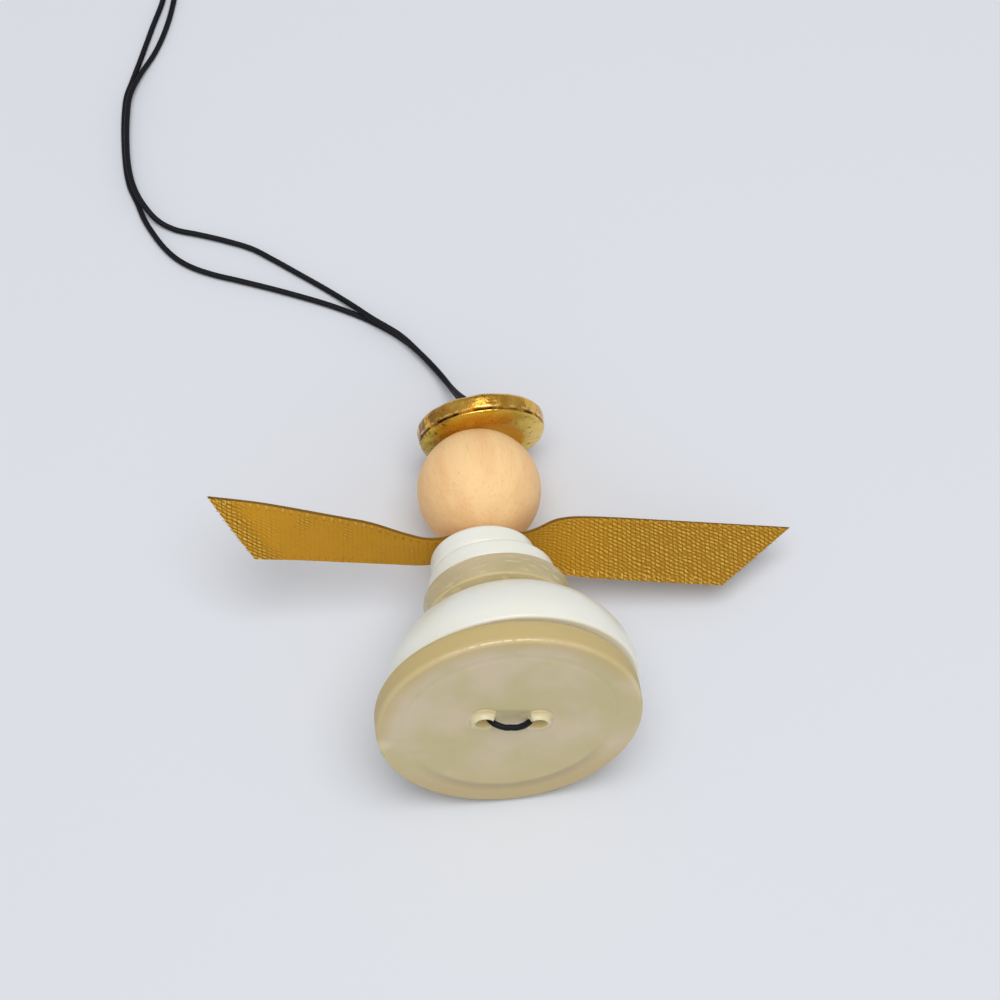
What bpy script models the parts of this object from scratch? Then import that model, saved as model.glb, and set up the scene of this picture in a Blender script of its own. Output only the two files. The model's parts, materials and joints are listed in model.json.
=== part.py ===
"""Button angel ornament: buttons, a ribbon, a wooden bead and a halo on one folded cord.

The angel lies on its side on a table at z = 0, resting on the rims of its base button and its halo.
In the stack's own frame +Z runs along the cord from the base button to the halo, +X points to the
right wing and +Y points down to the table.
"""
import math

import bpy
import numpy as np
from mathutils import Matrix, Vector

MM = 0.001

# Clearances shared by neighbouring pieces
SEAT_GAP = 0.3 * MM
CORD_GAP = 0.3 * MM

# Cord
CORD_D = 0.7 * MM
CORD_STEP = 2.0 * MM
CORE_STEP = 1.0 * MM
STRAND_PITCH = CORD_D + CORD_GAP

# Base button, tipped a little off the stack: a flat face outward, with a raised collar round each of
# its two holes and a saddle between them for the cord
BASE_D = 28.6 * MM
BASE_T = 3.3 * MM
BASE_TIP_DEG = 1.2
BASE_SHIFT = -0.2 * MM
BASE_FRONT_ROUND = 0.7 * MM
BASE_BACK_ROUND = 1.2 * MM
BASE_LIP_W = 0.45 * MM
BASE_GROOVE_W = 0.5 * MM
BASE_GROOVE_DEPTH = 0.22 * MM
BASE_HOLE_PITCH = 5.3 * MM
BASE_HOLE_D = 2.7 * MM
COLLAR_D = 4.6 * MM
COLLAR_TOP_D = 3.55 * MM
COLLAR_H = 0.65 * MM
SADDLE_L = 4.2 * MM
SADDLE_D = 6.2 * MM
SADDLE_DEPTH = 0.25 * MM
BRIDGE_BEND = 1.2 * MM

# Skirt button, a thick white dome
SKIRT_D = 27.2 * MM
SKIRT_T = 9.8 * MM
SKIRT_RIM_H = 1.4 * MM
SKIRT_EDGE = 0.35 * MM
SKIRT_CROWN_D = 9.0 * MM
SKIRT_FULLNESS = 1.8
SKIRT_HOLE_PITCH = 4.5 * MM
SKIRT_HOLE_D = 2.2 * MM
SKIRT_SHIFT = 0.7 * MM

# Waist button
WAIST_D = 16.2 * MM
WAIST_T = 3.0 * MM
WAIST_ROUND = 0.55 * MM
WAIST_CROWN = 0.1 * MM
WAIST_HOLE_PITCH = 4.0 * MM
WAIST_HOLE_D = 2.2 * MM
WAIST_SHIFT = 0.25 * MM

# Lower bodice button
LOWER_D = 14.0 * MM
LOWER_T = 2.3 * MM
LOWER_ROUND = 0.5 * MM
LOWER_CROWN = 0.1 * MM
LOWER_HOLE_PITCH = 3.0 * MM
LOWER_HOLE_D = 2.0 * MM
LOWER_SHIFT = 0.05 * MM

# Upper bodice button, with a domed top
UPPER_D = 11.7 * MM
UPPER_T = 2.6 * MM
UPPER_ROUND = 0.6 * MM
UPPER_CROWN = 1.6 * MM
UPPER_HOLE_PITCH = 2.6 * MM
UPPER_HOLE_D = 2.3 * MM
UPPER_SHIFT = -0.65 * MM

# Ribbon wings: one strip, pierced in the middle and cut slanting at both ends
RIBBON_W = 7.0 * MM
RIBBON_T = 0.35 * MM
RIBBON_EYE_D = 3.0 * MM
RIBBON_RIGHT = 30.9 * MM
RIBBON_LEFT = 28.4 * MM
RIGHT_CUT_SLANT = 3.8 * MM
LEFT_CUT_SLANT = 2.9 * MM
WINGS_SWIVEL_DEG = 10.5
WINGS_YAW_DEG = 3.2
# At shares of a wing's length out from the neck: the twist of the strip in degrees, then its droop
# towards the base and the reach of its upper and lower edges, as shares of half its width
RIGHT_WING = ((0, 0, 0, 0.8, 0.8), (0.14, 0, 0, 0.5, 0.85), (0.2, 8, 0, 0.8, 0.95), (0.27, 28, 0, 1, 1),
              (0.35, 36, 0, 1, 1), (0.42, 40, 0, 1, 1), (0.57, 49, 0, 1, 1), (0.76, 53, 0, 1, 1),
              (1.2, 55, 0, 1, 1))
LEFT_WING = ((0, 0, 0, 0.8, 0.8), (0.1, 0, 0.06, 0.65, 0.9), (0.22, 0, 0.31, 0.25, 1), (0.34, 3, 0.26, 0.45, 1),
             (0.46, 8, 0.2, 0.72, 1), (0.74, 12, 0.17, 1, 1), (0.92, 24, 0.09, 1, 1), (1.2, 31, 0, 1, 1))
WING_EASE = 0.7 * MM
RIBBON_STEPS = 44
RIBBON_ROWS = 6

# Head bead
HEAD_D = 14.0 * MM
HEAD_BORE_D = 3.0 * MM
HEAD_EDGE = 0.25 * MM

# Halo, tipped with its upper edge towards the base and turned a little to the left
HALO_D = 14.6 * MM
HALO_T = 2.9 * MM
HALO_BAND_ROUND = 0.75 * MM
HALO_GROOVE_DEPTH = 0.35 * MM
HALO_GROOVE_W = 0.4 * MM
HALO_LOWER_BAND = 0.7 * MM
HALO_SHOULDER = 2.4 * MM
HALO_DISH_D = 9.6 * MM
HALO_DISH_DEPTH = 0.7 * MM
HALO_TOP_DISH = 0.5 * MM
HALO_HOLE_D = 2.8 * MM
HALO_SEAT = 0.55 * MM
HALO_TIP_DEG = 15.0
HALO_YAW_DEG = -3.9
HALO_SHIFT = 1.0 * MM
HALO_CORD_SHIFT = 0.5 * MM

# Stop knot above the halo, and the knot that ties the loop
KNOT_D = 3.0 * MM
KNOT_L = 2.4 * MM
KNOT_WRAPS = 3
END_KNOT_D = 2.6 * MM
END_KNOT_L = 3.4 * MM
END_KNOT_WRAPS = 3
END_KNOT_STANDOFF = 0.8 * MM

# Facets round each turned piece
BASE_SIDES = 56
SKIRT_SIDES = 52
SMALL_SIDES = 36
HALO_SIDES = 40
KNOT_SIDES = 16
HOLE_SIDES = 16
COLLAR_SIDES = 28

# Free strands on the table, as (x, y, height above the table) in mm from the foot of the stack
RIGHT_ROUTE = (
    (-0.1, 46.6, 4.2), (-0.8, 48.7, 2.4), (-2.3, 51.6, 1.5), (-4.3, 54.5, 1.3), (-6.6, 57.1, 1.3),
    (-9.6, 59.6, 1.2), (-12.0, 62.2, 0.7), (-14.6, 64.7, 0.4), (-17.6, 67.2, 0.4), (-20.9, 69.9, 0.4),
    (-23.3, 71.7, 0.4), (-26.4, 73.2, 0.4), (-29.4, 74.4, 0.4), (-32.3, 75.5, 0.4), (-34.4, 77.0, 0.7),
    (-36.0, 79.4, 1.2), (-36.9, 82.0, 1.3), (-37.3, 85.0, 1.3), (-37.3, 88.6, 1.3), (-37.0, 92.4, 1.3),
    (-36.5, 95.4, 1.2), (-35.2, 98.6, 0.7), (-33.0, 102.3, 0.4), (-31.3, 106.2, 0.4), (-30.1, 110.4, 0.4),
    (-29.2, 115.0, 0.4), (-29.0, 119.5, 0.4), (-29.4, 124.0, 0.4), (-29.8, 127.0, 0.4))
LEFT_ROUTE = (
    (-0.4, 46.2, 3.2), (-1.1, 48.6, 1.4), (-2.5, 51.6, 0.55), (-4.5, 54.7, 0.4), (-6.8, 57.3, 0.4),
    (-9.9, 59.8, 0.4), (-12.6, 61.5, 0.4), (-15.8, 63.2, 0.4), (-20.6, 65.4, 0.4), (-24.9, 67.2, 0.4),
    (-27.9, 68.4, 0.4), (-30.4, 69.7, 0.4), (-32.3, 71.2, 0.4), (-33.8, 73.1, 0.4), (-35.0, 75.3, 0.4),
    (-35.9, 77.4, 0.4), (-36.6, 79.9, 0.4), (-37.4, 82.6, 0.4), (-37.7, 86.0, 0.4), (-37.6, 91.0, 0.4),
    (-37.1, 95.4, 0.4), (-36.2, 98.0, 0.4), (-34.9, 101.4, 0.4), (-33.2, 106.0, 0.4), (-31.5, 110.5, 0.4),
    (-30.6, 115.0, 0.4), (-30.5, 119.5, 0.4), (-30.8, 124.0, 0.4), (-31.0, 127.0, 0.4))


# Heights of the seats along the stack
def stack_heights():
    """Distances along the stack to each seat. A tipped base leans outward from its upper edge."""
    at = {"base": -BASE_D / 2 * math.sin(math.radians(BASE_TIP_DEG))}
    at["skirt"] = BASE_T + SEAT_GAP
    at["waist"] = at["skirt"] + SKIRT_T + SEAT_GAP
    at["lower"] = at["waist"] + WAIST_T + WAIST_CROWN + SEAT_GAP
    at["upper"] = at["lower"] + LOWER_T + LOWER_CROWN + SEAT_GAP
    at["ribbon"] = at["upper"] + UPPER_T + UPPER_CROWN + SEAT_GAP + RIBBON_T / 2
    head_flat = at["ribbon"] + RIBBON_T / 2 + SEAT_GAP
    at["head"] = head_flat + math.sqrt(HEAD_D ** 2 - HEAD_BORE_D ** 2) / 2
    at["halo"] = at["head"] + HEAD_D / 2 + HALO_SEAT - HALO_DISH_DEPTH
    at["halo_top"] = at["halo"] + HALO_T
    tip = math.radians(HALO_TIP_DEG)
    at["knot"] = at["halo_top"] + SEAT_GAP + KNOT_D / 2 * math.sin(tip)
    at["knot_top"] = at["knot"] + KNOT_L
    return at


AT = stack_heights()


# Turned profiles, as (radius, height) from the top round the outer side to the bottom
def quarter(center_r, center_h, radius_r, radius_h, start_deg, end_deg, steps=4):
    """Points of a quarter-round, with 0 degrees outward and 90 degrees up."""
    angles = np.radians(np.linspace(start_deg, end_deg, steps + 1))
    return [(center_r + radius_r * math.cos(a), center_h + radius_h * math.sin(a)) for a in angles]


def base_profile():
    r = BASE_D / 2
    points = [(0.0, BASE_T)]
    points += quarter(r - BASE_BACK_ROUND, BASE_T - BASE_BACK_ROUND, BASE_BACK_ROUND, BASE_BACK_ROUND, 90, 0)
    points += quarter(r - BASE_FRONT_ROUND, BASE_FRONT_ROUND, BASE_FRONT_ROUND, BASE_FRONT_ROUND, 0, -90)
    lip = r - BASE_FRONT_ROUND - BASE_LIP_W
    points += [(lip, 0.0), (lip - BASE_GROOVE_W * 0.35, BASE_GROOVE_DEPTH)]
    points += [(lip - BASE_GROOVE_W * 0.65, BASE_GROOVE_DEPTH), (lip - BASE_GROOVE_W, 0.0), (0.0, 0.0)]
    return points


def skirt_profile():
    """A flat back, a low straight rim and a full dome that ends in a small flat crown."""
    crown = SKIRT_CROWN_D / 2
    rise = SKIRT_T - SKIRT_RIM_H
    points = [(0.0, SKIRT_T)]
    steps = 8
    for step in range(steps + 1):
        part = math.sin(math.pi / 2 * (1 - step / steps))
        spread = max(0.0, 1 - part ** SKIRT_FULLNESS) ** (1 / SKIRT_FULLNESS)
        points.append((crown + (SKIRT_D / 2 - crown) * spread, SKIRT_RIM_H + rise * part))
    points += quarter(SKIRT_D / 2 - SKIRT_EDGE, SKIRT_EDGE, SKIRT_EDGE, SKIRT_EDGE, 0, -90)
    points.append((0.0, 0.0))
    return points


def button_profile(diameter, thickness, edge, crown):
    """A flat back, a rounded rim and a top that domes by the crown height."""
    r = diameter / 2
    flat = r - edge
    points = [(0.0, thickness + crown)]
    for part in (0.3, 0.55, 0.8):
        points.append((flat * part, thickness + crown * math.cos(math.pi / 2 * part)))
    points += quarter(flat, thickness - edge, edge, edge, 90, 0, 3)
    points += quarter(flat, edge, edge, edge, 0, -90, 3)
    points.append((0.0, 0.0))
    return points


def bead_profile():
    """Closed outline of the bored bead about its centre."""
    r = HEAD_D / 2
    bore = HEAD_BORE_D / 2
    mouth = bore + HEAD_EDGE
    end = math.degrees(math.acos(mouth / r))
    points = quarter(0.0, 0.0, r, r, end, -end, 14)
    depth = math.sqrt(r ** 2 - mouth ** 2) - HEAD_EDGE
    points += [(bore, -depth), (bore, depth)]
    return points


def halo_profile():
    """Closed outline: an upper band, a groove, a broad rounded shoulder, a dished underside and the hole."""
    r = HALO_D / 2
    hole = HALO_HOLE_D / 2
    dish = HALO_DISH_D / 2
    round_r = HALO_BAND_ROUND
    low = HALO_LOWER_BAND
    band_low = low + HALO_GROOVE_W
    points = [(hole, HALO_T - HALO_TOP_DISH), (dish, HALO_T - HALO_TOP_DISH * 0.6)]
    points += quarter(r - round_r, HALO_T - round_r, round_r, round_r, 90, 0)
    points += [(r - 0.25 * HALO_GROOVE_DEPTH, band_low), (r - HALO_GROOVE_DEPTH, low + HALO_GROOVE_W / 2)]
    inner = r - HALO_GROOVE_DEPTH / 2 - HALO_SHOULDER
    points += quarter(inner, low, HALO_SHOULDER, low, 0, -90, 6)
    steps = 5
    for step in range(1, steps + 1):
        part = step / steps
        radius = inner + (hole - inner) * part
        depth = HALO_DISH_DEPTH * math.sin(math.pi / 2 * min(1.0, (inner - radius) / (dish / 2)))
        points.append((radius, depth))
    return points


# The lie of the stack on the table
def table_reach(profile, height, tip_deg, tilt):
    """How far a turned piece reaches below the foot of the stack, from its height and tip on the stack."""
    lean = tilt - math.radians(tip_deg)
    return height * math.sin(tilt) + max(h * math.sin(lean) + r * math.cos(lean) for r, h in profile)


def base_reach(tilt):
    return table_reach(base_profile(), AT["base"], -BASE_TIP_DEG, tilt)


def rest_tilt():
    """Dip of the cord line at which the base rim and the halo rim touch the table together."""
    halo = halo_profile()
    low, high = 0.0, math.radians(40)
    for _ in range(50):
        tilt = (low + high) / 2
        if table_reach(halo, AT["halo"], HALO_TIP_DEG, tilt) < base_reach(tilt):
            low = tilt
        else:
            high = tilt
    return (low + high) / 2


TILT = rest_tilt()


# Scene helpers
def clear_scene():
    for item in list(bpy.data.objects):
        bpy.data.objects.remove(item, do_unlink=True)


def add_object(name, data, parent=None):
    item = bpy.data.objects.new(name, data)
    bpy.context.scene.collection.objects.link(item)
    item.parent = parent
    return item


def material(name, color, roughness, metallic=0.0):
    shade = bpy.data.materials.new(name)
    shade.use_nodes = True
    surface = shade.node_tree.nodes["Principled BSDF"]
    surface.inputs["Base Color"].default_value = (*color, 1.0)
    surface.inputs["Roughness"].default_value = roughness
    surface.inputs["Metallic"].default_value = metallic
    return shade


def turned(name, profile, sides, closed, parent, shade):
    """A solid of revolution, turned half a facet so that a flat faces the table."""
    count = len(profile)
    mesh = bpy.data.meshes.new(name)
    edges = [(i, i + 1) for i in range(count - 1)]
    if closed:
        edges.append((count - 1, 0))
    mesh.from_pydata([(r, 0.0, h) for r, h in profile], edges, [])
    mesh.materials.append(shade)
    item = add_object(name, mesh, parent)
    item.rotation_euler.z = math.pi / sides
    screw = item.modifiers.new("turn", "SCREW")
    screw.axis = "Z"
    screw.angle = 2 * math.pi
    screw.steps = sides
    screw.render_steps = sides
    screw.use_merge_vertices = True
    screw.merge_threshold = 0.001 * MM
    screw.use_smooth_shade = True
    return item


def tapered_mesh(name, low_d, high_d, length, sides):
    """A closed round plug from one diameter to another, standing on its lower end."""
    mesh = bpy.data.meshes.new(name)
    ring = [2 * math.pi * i / sides for i in range(sides)]
    vertices = [(low_d / 2 * math.cos(a), low_d / 2 * math.sin(a), 0.0) for a in ring]
    vertices += [(high_d / 2 * math.cos(a), high_d / 2 * math.sin(a), length) for a in ring]
    faces = [(i, (i + 1) % sides, sides + (i + 1) % sides, sides + i) for i in range(sides)]
    faces.append(tuple(reversed(range(sides))))
    faces.append(tuple(range(sides, 2 * sides)))
    mesh.from_pydata(vertices, [], faces)
    return mesh


def combine(item, tool, operation):
    """Joins a tool solid to a piece or cuts it away, and hides the tool."""
    tool.hide_render = True
    tool.display_type = "WIRE"
    step = item.modifiers.new(tool.name, "BOOLEAN")
    step.operation = operation
    step.solver = "EXACT"
    step.object = tool


def drill(item, name, diameter, length, place, parent):
    """Cuts a round hole along the stack through a piece."""
    cutter = add_object(name, tapered_mesh(name, diameter, diameter, length, HOLE_SIDES), parent)
    cutter.location = place
    combine(item, cutter, "DIFFERENCE")


def smooth_route(points, step):
    """Evenly spaced points on a smooth curve through a route's own points."""
    route = [Vector(p) for p in points]
    route = [2 * route[0] - route[1]] + route + [2 * route[-1] - route[-2]]
    fine = []
    for p0, p1, p2, p3 in zip(route, route[1:], route[2:], route[3:]):
        for i in range(24):
            t = i / 24
            fine.append(0.5 * (2 * p1 + (p2 - p0) * t + (2 * p0 - 5 * p1 + 4 * p2 - p3) * t ** 2
                               + (3 * p1 - p0 - 3 * p2 + p3) * t ** 3))
    fine.append(route[-2])
    run = np.concatenate([[0.0], np.cumsum([(b - a).length for a, b in zip(fine, fine[1:])])])
    count = max(2, round(run[-1] / step))
    wanted = np.linspace(0.0, run[-1], count + 1)
    columns = [np.interp(wanted, run, [p[axis] for p in fine]) for axis in range(3)]
    return [Vector(p) for p in zip(*columns)]


def tube(name, points, parent, shade):
    """A cord of round section with filled ends along a run of points."""
    curve = bpy.data.curves.new(name, "CURVE")
    curve.dimensions = "3D"
    curve.bevel_depth = CORD_D / 2
    curve.bevel_resolution = 2
    curve.use_fill_caps = True
    spline = curve.splines.new("POLY")
    spline.points.add(len(points) - 1)
    for target, point in zip(spline.points, points):
        target.co = (*point, 1.0)
    curve.materials.append(shade)
    return add_object(name, curve, parent)


# The frames that carry the pieces
def make_frames():
    table = add_object("table_frame", None)
    stack = add_object("stack_frame", None, table)
    stack.rotation_euler.x = -(math.pi / 2 + TILT)
    stack.location.z = base_reach(TILT)
    return table, stack


def seat_frame(name, height, shift, stack, tip_deg=0.0, yaw_deg=0.0):
    """An empty on a piece's own turning axis."""
    seat = add_object(name, None, stack)
    seat.location = (shift, 0.0, height)
    seat.rotation_euler = (math.radians(tip_deg), math.radians(yaw_deg), 0.0)
    return seat


# Pieces
def make_base(stack, shade):
    seat = seat_frame("base_seat", AT["base"], BASE_SHIFT, stack, -BASE_TIP_DEG)
    base = turned("base_button", base_profile(), BASE_SIDES, False, seat, shade)
    flare = (COLLAR_D - COLLAR_TOP_D) / COLLAR_H
    collar_l = 1.5 * COLLAR_H
    for side in (-1, 1):
        name = f"base_collar_{side}"
        mesh = tapered_mesh(name, COLLAR_TOP_D, COLLAR_TOP_D + flare * collar_l, collar_l, COLLAR_SIDES)
        collar = add_object(name, mesh, seat)
        collar.location = (side * BASE_HOLE_PITCH / 2, 0.0, -COLLAR_H)
        combine(base, collar, "UNION")
    mesh = tapered_mesh("base_saddle_cutter", SADDLE_D, SADDLE_D, SADDLE_L, COLLAR_SIDES)
    saddle = add_object("base_saddle_cutter", mesh, seat)
    saddle.rotation_euler.y = math.pi / 2
    saddle.location = (-SADDLE_L / 2, 0.0, SADDLE_DEPTH - SADDLE_D / 2)
    combine(base, saddle, "DIFFERENCE")
    for side in (-1, 1):
        place = (side * BASE_HOLE_PITCH / 2, 0.0, -BASE_T)
        drill(base, f"base_hole_cutter_{side}", BASE_HOLE_D, 3 * BASE_T, place, seat)
    return base


def make_sewn_button(name, profile, sides, seat, hole_pitch, hole_d, depth, shade):
    """A two-hole button on its own seat."""
    button = turned(name, profile, sides, False, seat, shade)
    for side in (-1, 1):
        place = (side * hole_pitch / 2, 0.0, -depth)
        drill(button, f"{name}_hole_cutter_{side}", hole_d, 3 * depth, place, seat)
    return button


def wing_section(out):
    """Twist, droop and edge distances of the strip at a signed distance along it from the neck."""
    wing, length = (RIGHT_WING, RIBBON_RIGHT) if out > 0 else (LEFT_WING, RIBBON_LEFT)
    columns = np.array(wing).T
    twist, droop, upper, lower = (np.interp(abs(out) / length, columns[0], column) for column in columns[1:])
    half = RIBBON_W / 2
    return np.array([math.radians(twist), droop * half, upper * half, lower * half])


def ribbon_point(share, row):
    """A point of the strip: share runs from the left end to the right end, row from -1 to 1 up its width."""
    left = -(RIBBON_LEFT + LEFT_CUT_SLANT * row)
    right = RIBBON_RIGHT + RIGHT_CUT_SLANT * row
    out = left + (right - left) * share
    nearby = [wing_section(out + WING_EASE * step) for step in (-2, -1, 0, 1, 2)]
    twist, droop, upper, lower = np.mean(nearby, axis=0)
    height = (upper + lower) * (row + 1) / 2 - lower
    return Vector((out, -height * math.cos(twist), height * math.sin(twist) - droop))


def make_wings(stack, shade):
    seat = seat_frame("wings_seat", AT["ribbon"], 0.0, stack)
    mesh = bpy.data.meshes.new("ribbon_wings")
    turn = Matrix.Rotation(math.radians(WINGS_SWIVEL_DEG), 3, "Z")
    turn = turn @ Matrix.Rotation(math.radians(WINGS_YAW_DEG), 3, "Y")
    vertices = []
    for i in range(RIBBON_STEPS + 1):
        for j in range(RIBBON_ROWS + 1):
            vertices.append(turn @ ribbon_point(i / RIBBON_STEPS, 2 * j / RIBBON_ROWS - 1))
    width = RIBBON_ROWS + 1
    faces = [(i * width + j, (i + 1) * width + j, (i + 1) * width + j + 1, i * width + j + 1)
             for i in range(RIBBON_STEPS) for j in range(RIBBON_ROWS)]
    mesh.from_pydata(vertices, [], faces)
    mesh.materials.append(shade)
    wings = add_object("ribbon_wings", mesh, seat)
    solid = wings.modifiers.new("thickness", "SOLIDIFY")
    solid.thickness = RIBBON_T
    solid.offset = 0.0
    drill(wings, "ribbon_eye_cutter", RIBBON_EYE_D, HEAD_D / 2, (0.0, 0.0, -HEAD_D / 4), seat)
    return wings


def make_halo(stack, shade):
    """The halo turns on its own tipped axis, through the middle of its underside."""
    seat = seat_frame("halo_seat", AT["halo"], HALO_SHIFT, stack, HALO_TIP_DEG, HALO_YAW_DEG)
    return turned("halo", halo_profile(), HALO_SIDES, True, seat, shade)


def knot_profile(diameter, length, wraps):
    """A barrel of round wraps of cord."""
    pitch = length / wraps
    points = [(0.0, length)]
    for wrap in range(wraps):
        middle = length - pitch * (wrap + 0.5)
        bulge = pitch / 2
        points += quarter(diameter / 2 - bulge, middle, bulge, bulge * 0.98, 72, -72)
    points.append((0.0, 0.0))
    return points


def make_stop_knot(stack, shade):
    knot = turned("stop_knot", knot_profile(KNOT_D, KNOT_L, KNOT_WRAPS), KNOT_SIDES, False, stack, shade)
    knot.location = (HALO_CORD_SHIFT, 0.0, AT["knot"])
    return knot


def core_side(side):
    """Route of one strand inside the stack, from the bridge to just under the stop knot."""
    def hole(shift, pitch):
        return shift + side * pitch / 2

    def through(x, level, depth, low, high):
        return [(x, 0.0, AT[level] + low * depth), (x, 0.0, AT[level] + high * depth)]

    bridge_h = AT["base"] + SADDLE_DEPTH - CORD_GAP - CORD_D / 2
    base = hole(BASE_SHIFT, BASE_HOLE_PITCH - BASE_HOLE_D + CORD_D + 2 * CORD_GAP)
    bend = base - side * BRIDGE_BEND
    round_off = BRIDGE_BEND * math.sqrt(0.5)
    route = [(BASE_SHIFT, 0.0, bridge_h), (bend, 0.0, bridge_h)]
    route += [(bend + side * round_off, 0.0, bridge_h + BRIDGE_BEND - round_off)]
    route += [(base, 0.0, bridge_h + BRIDGE_BEND), (base, 0.0, 0.9 * BASE_T)]
    route += through(hole(SKIRT_SHIFT, SKIRT_HOLE_PITCH), "skirt", SKIRT_T, 0.12, 0.93)
    route += through(hole(WAIST_SHIFT, WAIST_HOLE_PITCH), "waist", WAIST_T, 0.25, 0.85)
    route += through(hole(LOWER_SHIFT, LOWER_HOLE_PITCH), "lower", LOWER_T, 0.15, 0.85)
    upper = hole(0.6 * UPPER_SHIFT, UPPER_HOLE_PITCH)
    neck = hole(UPPER_SHIFT / 4, 1.6 * STRAND_PITCH)
    route += [(upper, 0.0, AT["upper"] + 0.3 * UPPER_T)]
    route += [(0.85 * upper + 0.15 * neck, 0.0, AT["upper"] + UPPER_T + 0.5 * UPPER_CROWN)]
    route += [(neck, 0.0, AT["ribbon"] + SEAT_GAP)]
    route += through(hole(0.0, 1.1 * STRAND_PITCH), "head", HEAD_D, -0.3, 0.3)
    route += through(hole(HALO_CORD_SHIFT, STRAND_PITCH), "halo", HALO_T, 0.4, 0.9)
    route += [(hole(HALO_CORD_SHIFT, STRAND_PITCH), 0.0, AT["knot"] - CORD_GAP)]
    return route


def make_core(stack, shade):
    left = core_side(-1)
    right = core_side(1)
    route = list(reversed(left)) + right[1:]
    points = smooth_route(route, CORE_STEP)
    core = tube("cord_core", points, stack, shade)
    half = len(points) // 2
    bridge = math.ceil(BASE_HOLE_PITCH / CORE_STEP)
    gap = min((a - b).length for a in points[:half - bridge] for b in points[half + bridge:]) - CORD_D
    print(f"least gap between the two strands inside: {gap / MM:.2f} mm")
    return core


def make_strand(name, side, route, table, stack, shade):
    """One free strand, from the stop knot down to the table and along it to the end knot."""
    x = HALO_CORD_SHIFT + side * STRAND_PITCH / 2
    place = stack.matrix_basis
    start = [place @ Vector((x, 0.0, AT["knot_top"] + CORD_GAP)),
             place @ Vector((x, 0.0, AT["knot_top"] + CORD_GAP + CORD_D))]
    points = smooth_route(start + [Vector(p) * MM for p in route], CORD_STEP)
    return tube(name, points, table, shade)


def make_end_knot(table, shade):
    """The knot lies on the table, past the ends of both strands."""
    ends = [Vector(RIGHT_ROUTE[-1]), Vector(LEFT_ROUTE[-1])]
    before = [Vector(RIGHT_ROUTE[-2]), Vector(LEFT_ROUTE[-2])]
    run = (ends[0] + ends[1] - before[0] - before[1]).normalized()
    middle = (ends[0] + ends[1]) / 2 * MM + run * END_KNOT_STANDOFF
    profile = knot_profile(END_KNOT_D, END_KNOT_L, END_KNOT_WRAPS)
    knot = turned("end_knot", profile, KNOT_SIDES, False, table, shade)
    knot.rotation_mode = "QUATERNION"
    knot.rotation_quaternion = Vector((0.0, 0.0, 1.0)).rotation_difference(run)
    knot.location = (middle.x, middle.y, END_KNOT_D / 2 + CORD_GAP)
    return knot


def centre_over_origin(pieces, table):
    """Moves the model so that the middle of the angel's foot print stands on the origin."""
    bpy.context.view_layer.update()
    graph = bpy.context.evaluated_depsgraph_get()
    corners = []
    for piece in pieces:
        shape = piece.evaluated_get(graph).to_mesh()
        flat = np.empty(3 * len(shape.vertices))
        shape.vertices.foreach_get("co", flat)
        place = np.array(piece.matrix_world)
        corners.append(flat.reshape(-1, 3) @ place[:3, :3].T + place[:3, 3])
        piece.evaluated_get(graph).to_mesh_clear()
    spots = np.vstack(corners)
    middle = (spots.min(axis=0) + spots.max(axis=0)) / 2
    table.location = (-middle[0], -middle[1], -spots[:, 2].min())


def build():
    clear_scene()
    horn = material("horn_resin", (0.55, 0.47, 0.29), 0.35)
    white = material("white_resin", (0.88, 0.88, 0.83), 0.3)
    gold_cloth = material("gold_ribbon", (0.45, 0.23, 0.02), 0.55)
    wood = material("pale_wood", (0.84, 0.55, 0.3), 0.6)
    gilt = material("antique_gold", (0.6, 0.32, 0.06), 0.3, 1.0)
    navy = material("navy_cord", (0.012, 0.012, 0.02), 0.7)
    table, stack = make_frames()
    pieces = [make_base(stack, horn)]
    buttons = (
        ("skirt_button", skirt_profile(), SKIRT_SIDES, "skirt", SKIRT_SHIFT, SKIRT_HOLE_PITCH, SKIRT_HOLE_D,
         SKIRT_T, white),
        ("waist_button", button_profile(WAIST_D, WAIST_T, WAIST_ROUND, WAIST_CROWN), SMALL_SIDES, "waist",
         WAIST_SHIFT, WAIST_HOLE_PITCH, WAIST_HOLE_D, WAIST_T, horn),
        ("lower_bodice_button", button_profile(LOWER_D, LOWER_T, LOWER_ROUND, LOWER_CROWN), SMALL_SIDES,
         "lower", LOWER_SHIFT, LOWER_HOLE_PITCH, LOWER_HOLE_D, LOWER_T, white),
        ("upper_bodice_button", button_profile(UPPER_D, UPPER_T, UPPER_ROUND, UPPER_CROWN), SMALL_SIDES,
         "upper", UPPER_SHIFT, UPPER_HOLE_PITCH, UPPER_HOLE_D, UPPER_T, white))
    for name, profile, sides, level, shift, pitch, hole, depth, shade in buttons:
        seat = seat_frame(f"{level}_seat", AT[level], shift, stack)
        pieces.append(make_sewn_button(name, profile, sides, seat, pitch, hole, depth, shade))
    pieces.append(make_wings(stack, gold_cloth))
    head_seat = seat_frame("head_seat", AT["head"], 0.0, stack)
    pieces.append(turned("head_bead", bead_profile(), SMALL_SIDES, True, head_seat, wood))
    pieces.append(make_halo(stack, gilt))
    pieces.append(make_core(stack, navy))
    make_stop_knot(stack, navy)
    make_strand("cord_strand_right", 1, RIGHT_ROUTE, table, stack, navy)
    make_strand("cord_strand_left", -1, LEFT_ROUTE, table, stack, navy)
    make_end_knot(table, navy)
    centre_over_origin(pieces, table)


build()
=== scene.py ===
"""Looks of a button angel ornament that lies on its side on a pale table.

Sizes are in millimetres and become metres where a mesh is made. In a piece's own frame X points to the
right wing, Y down to the table and Z along the cord from the base button to the halo.
"""
import json
import math

import bpy
import numpy as np
from mathutils import Euler, Matrix, Vector


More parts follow.
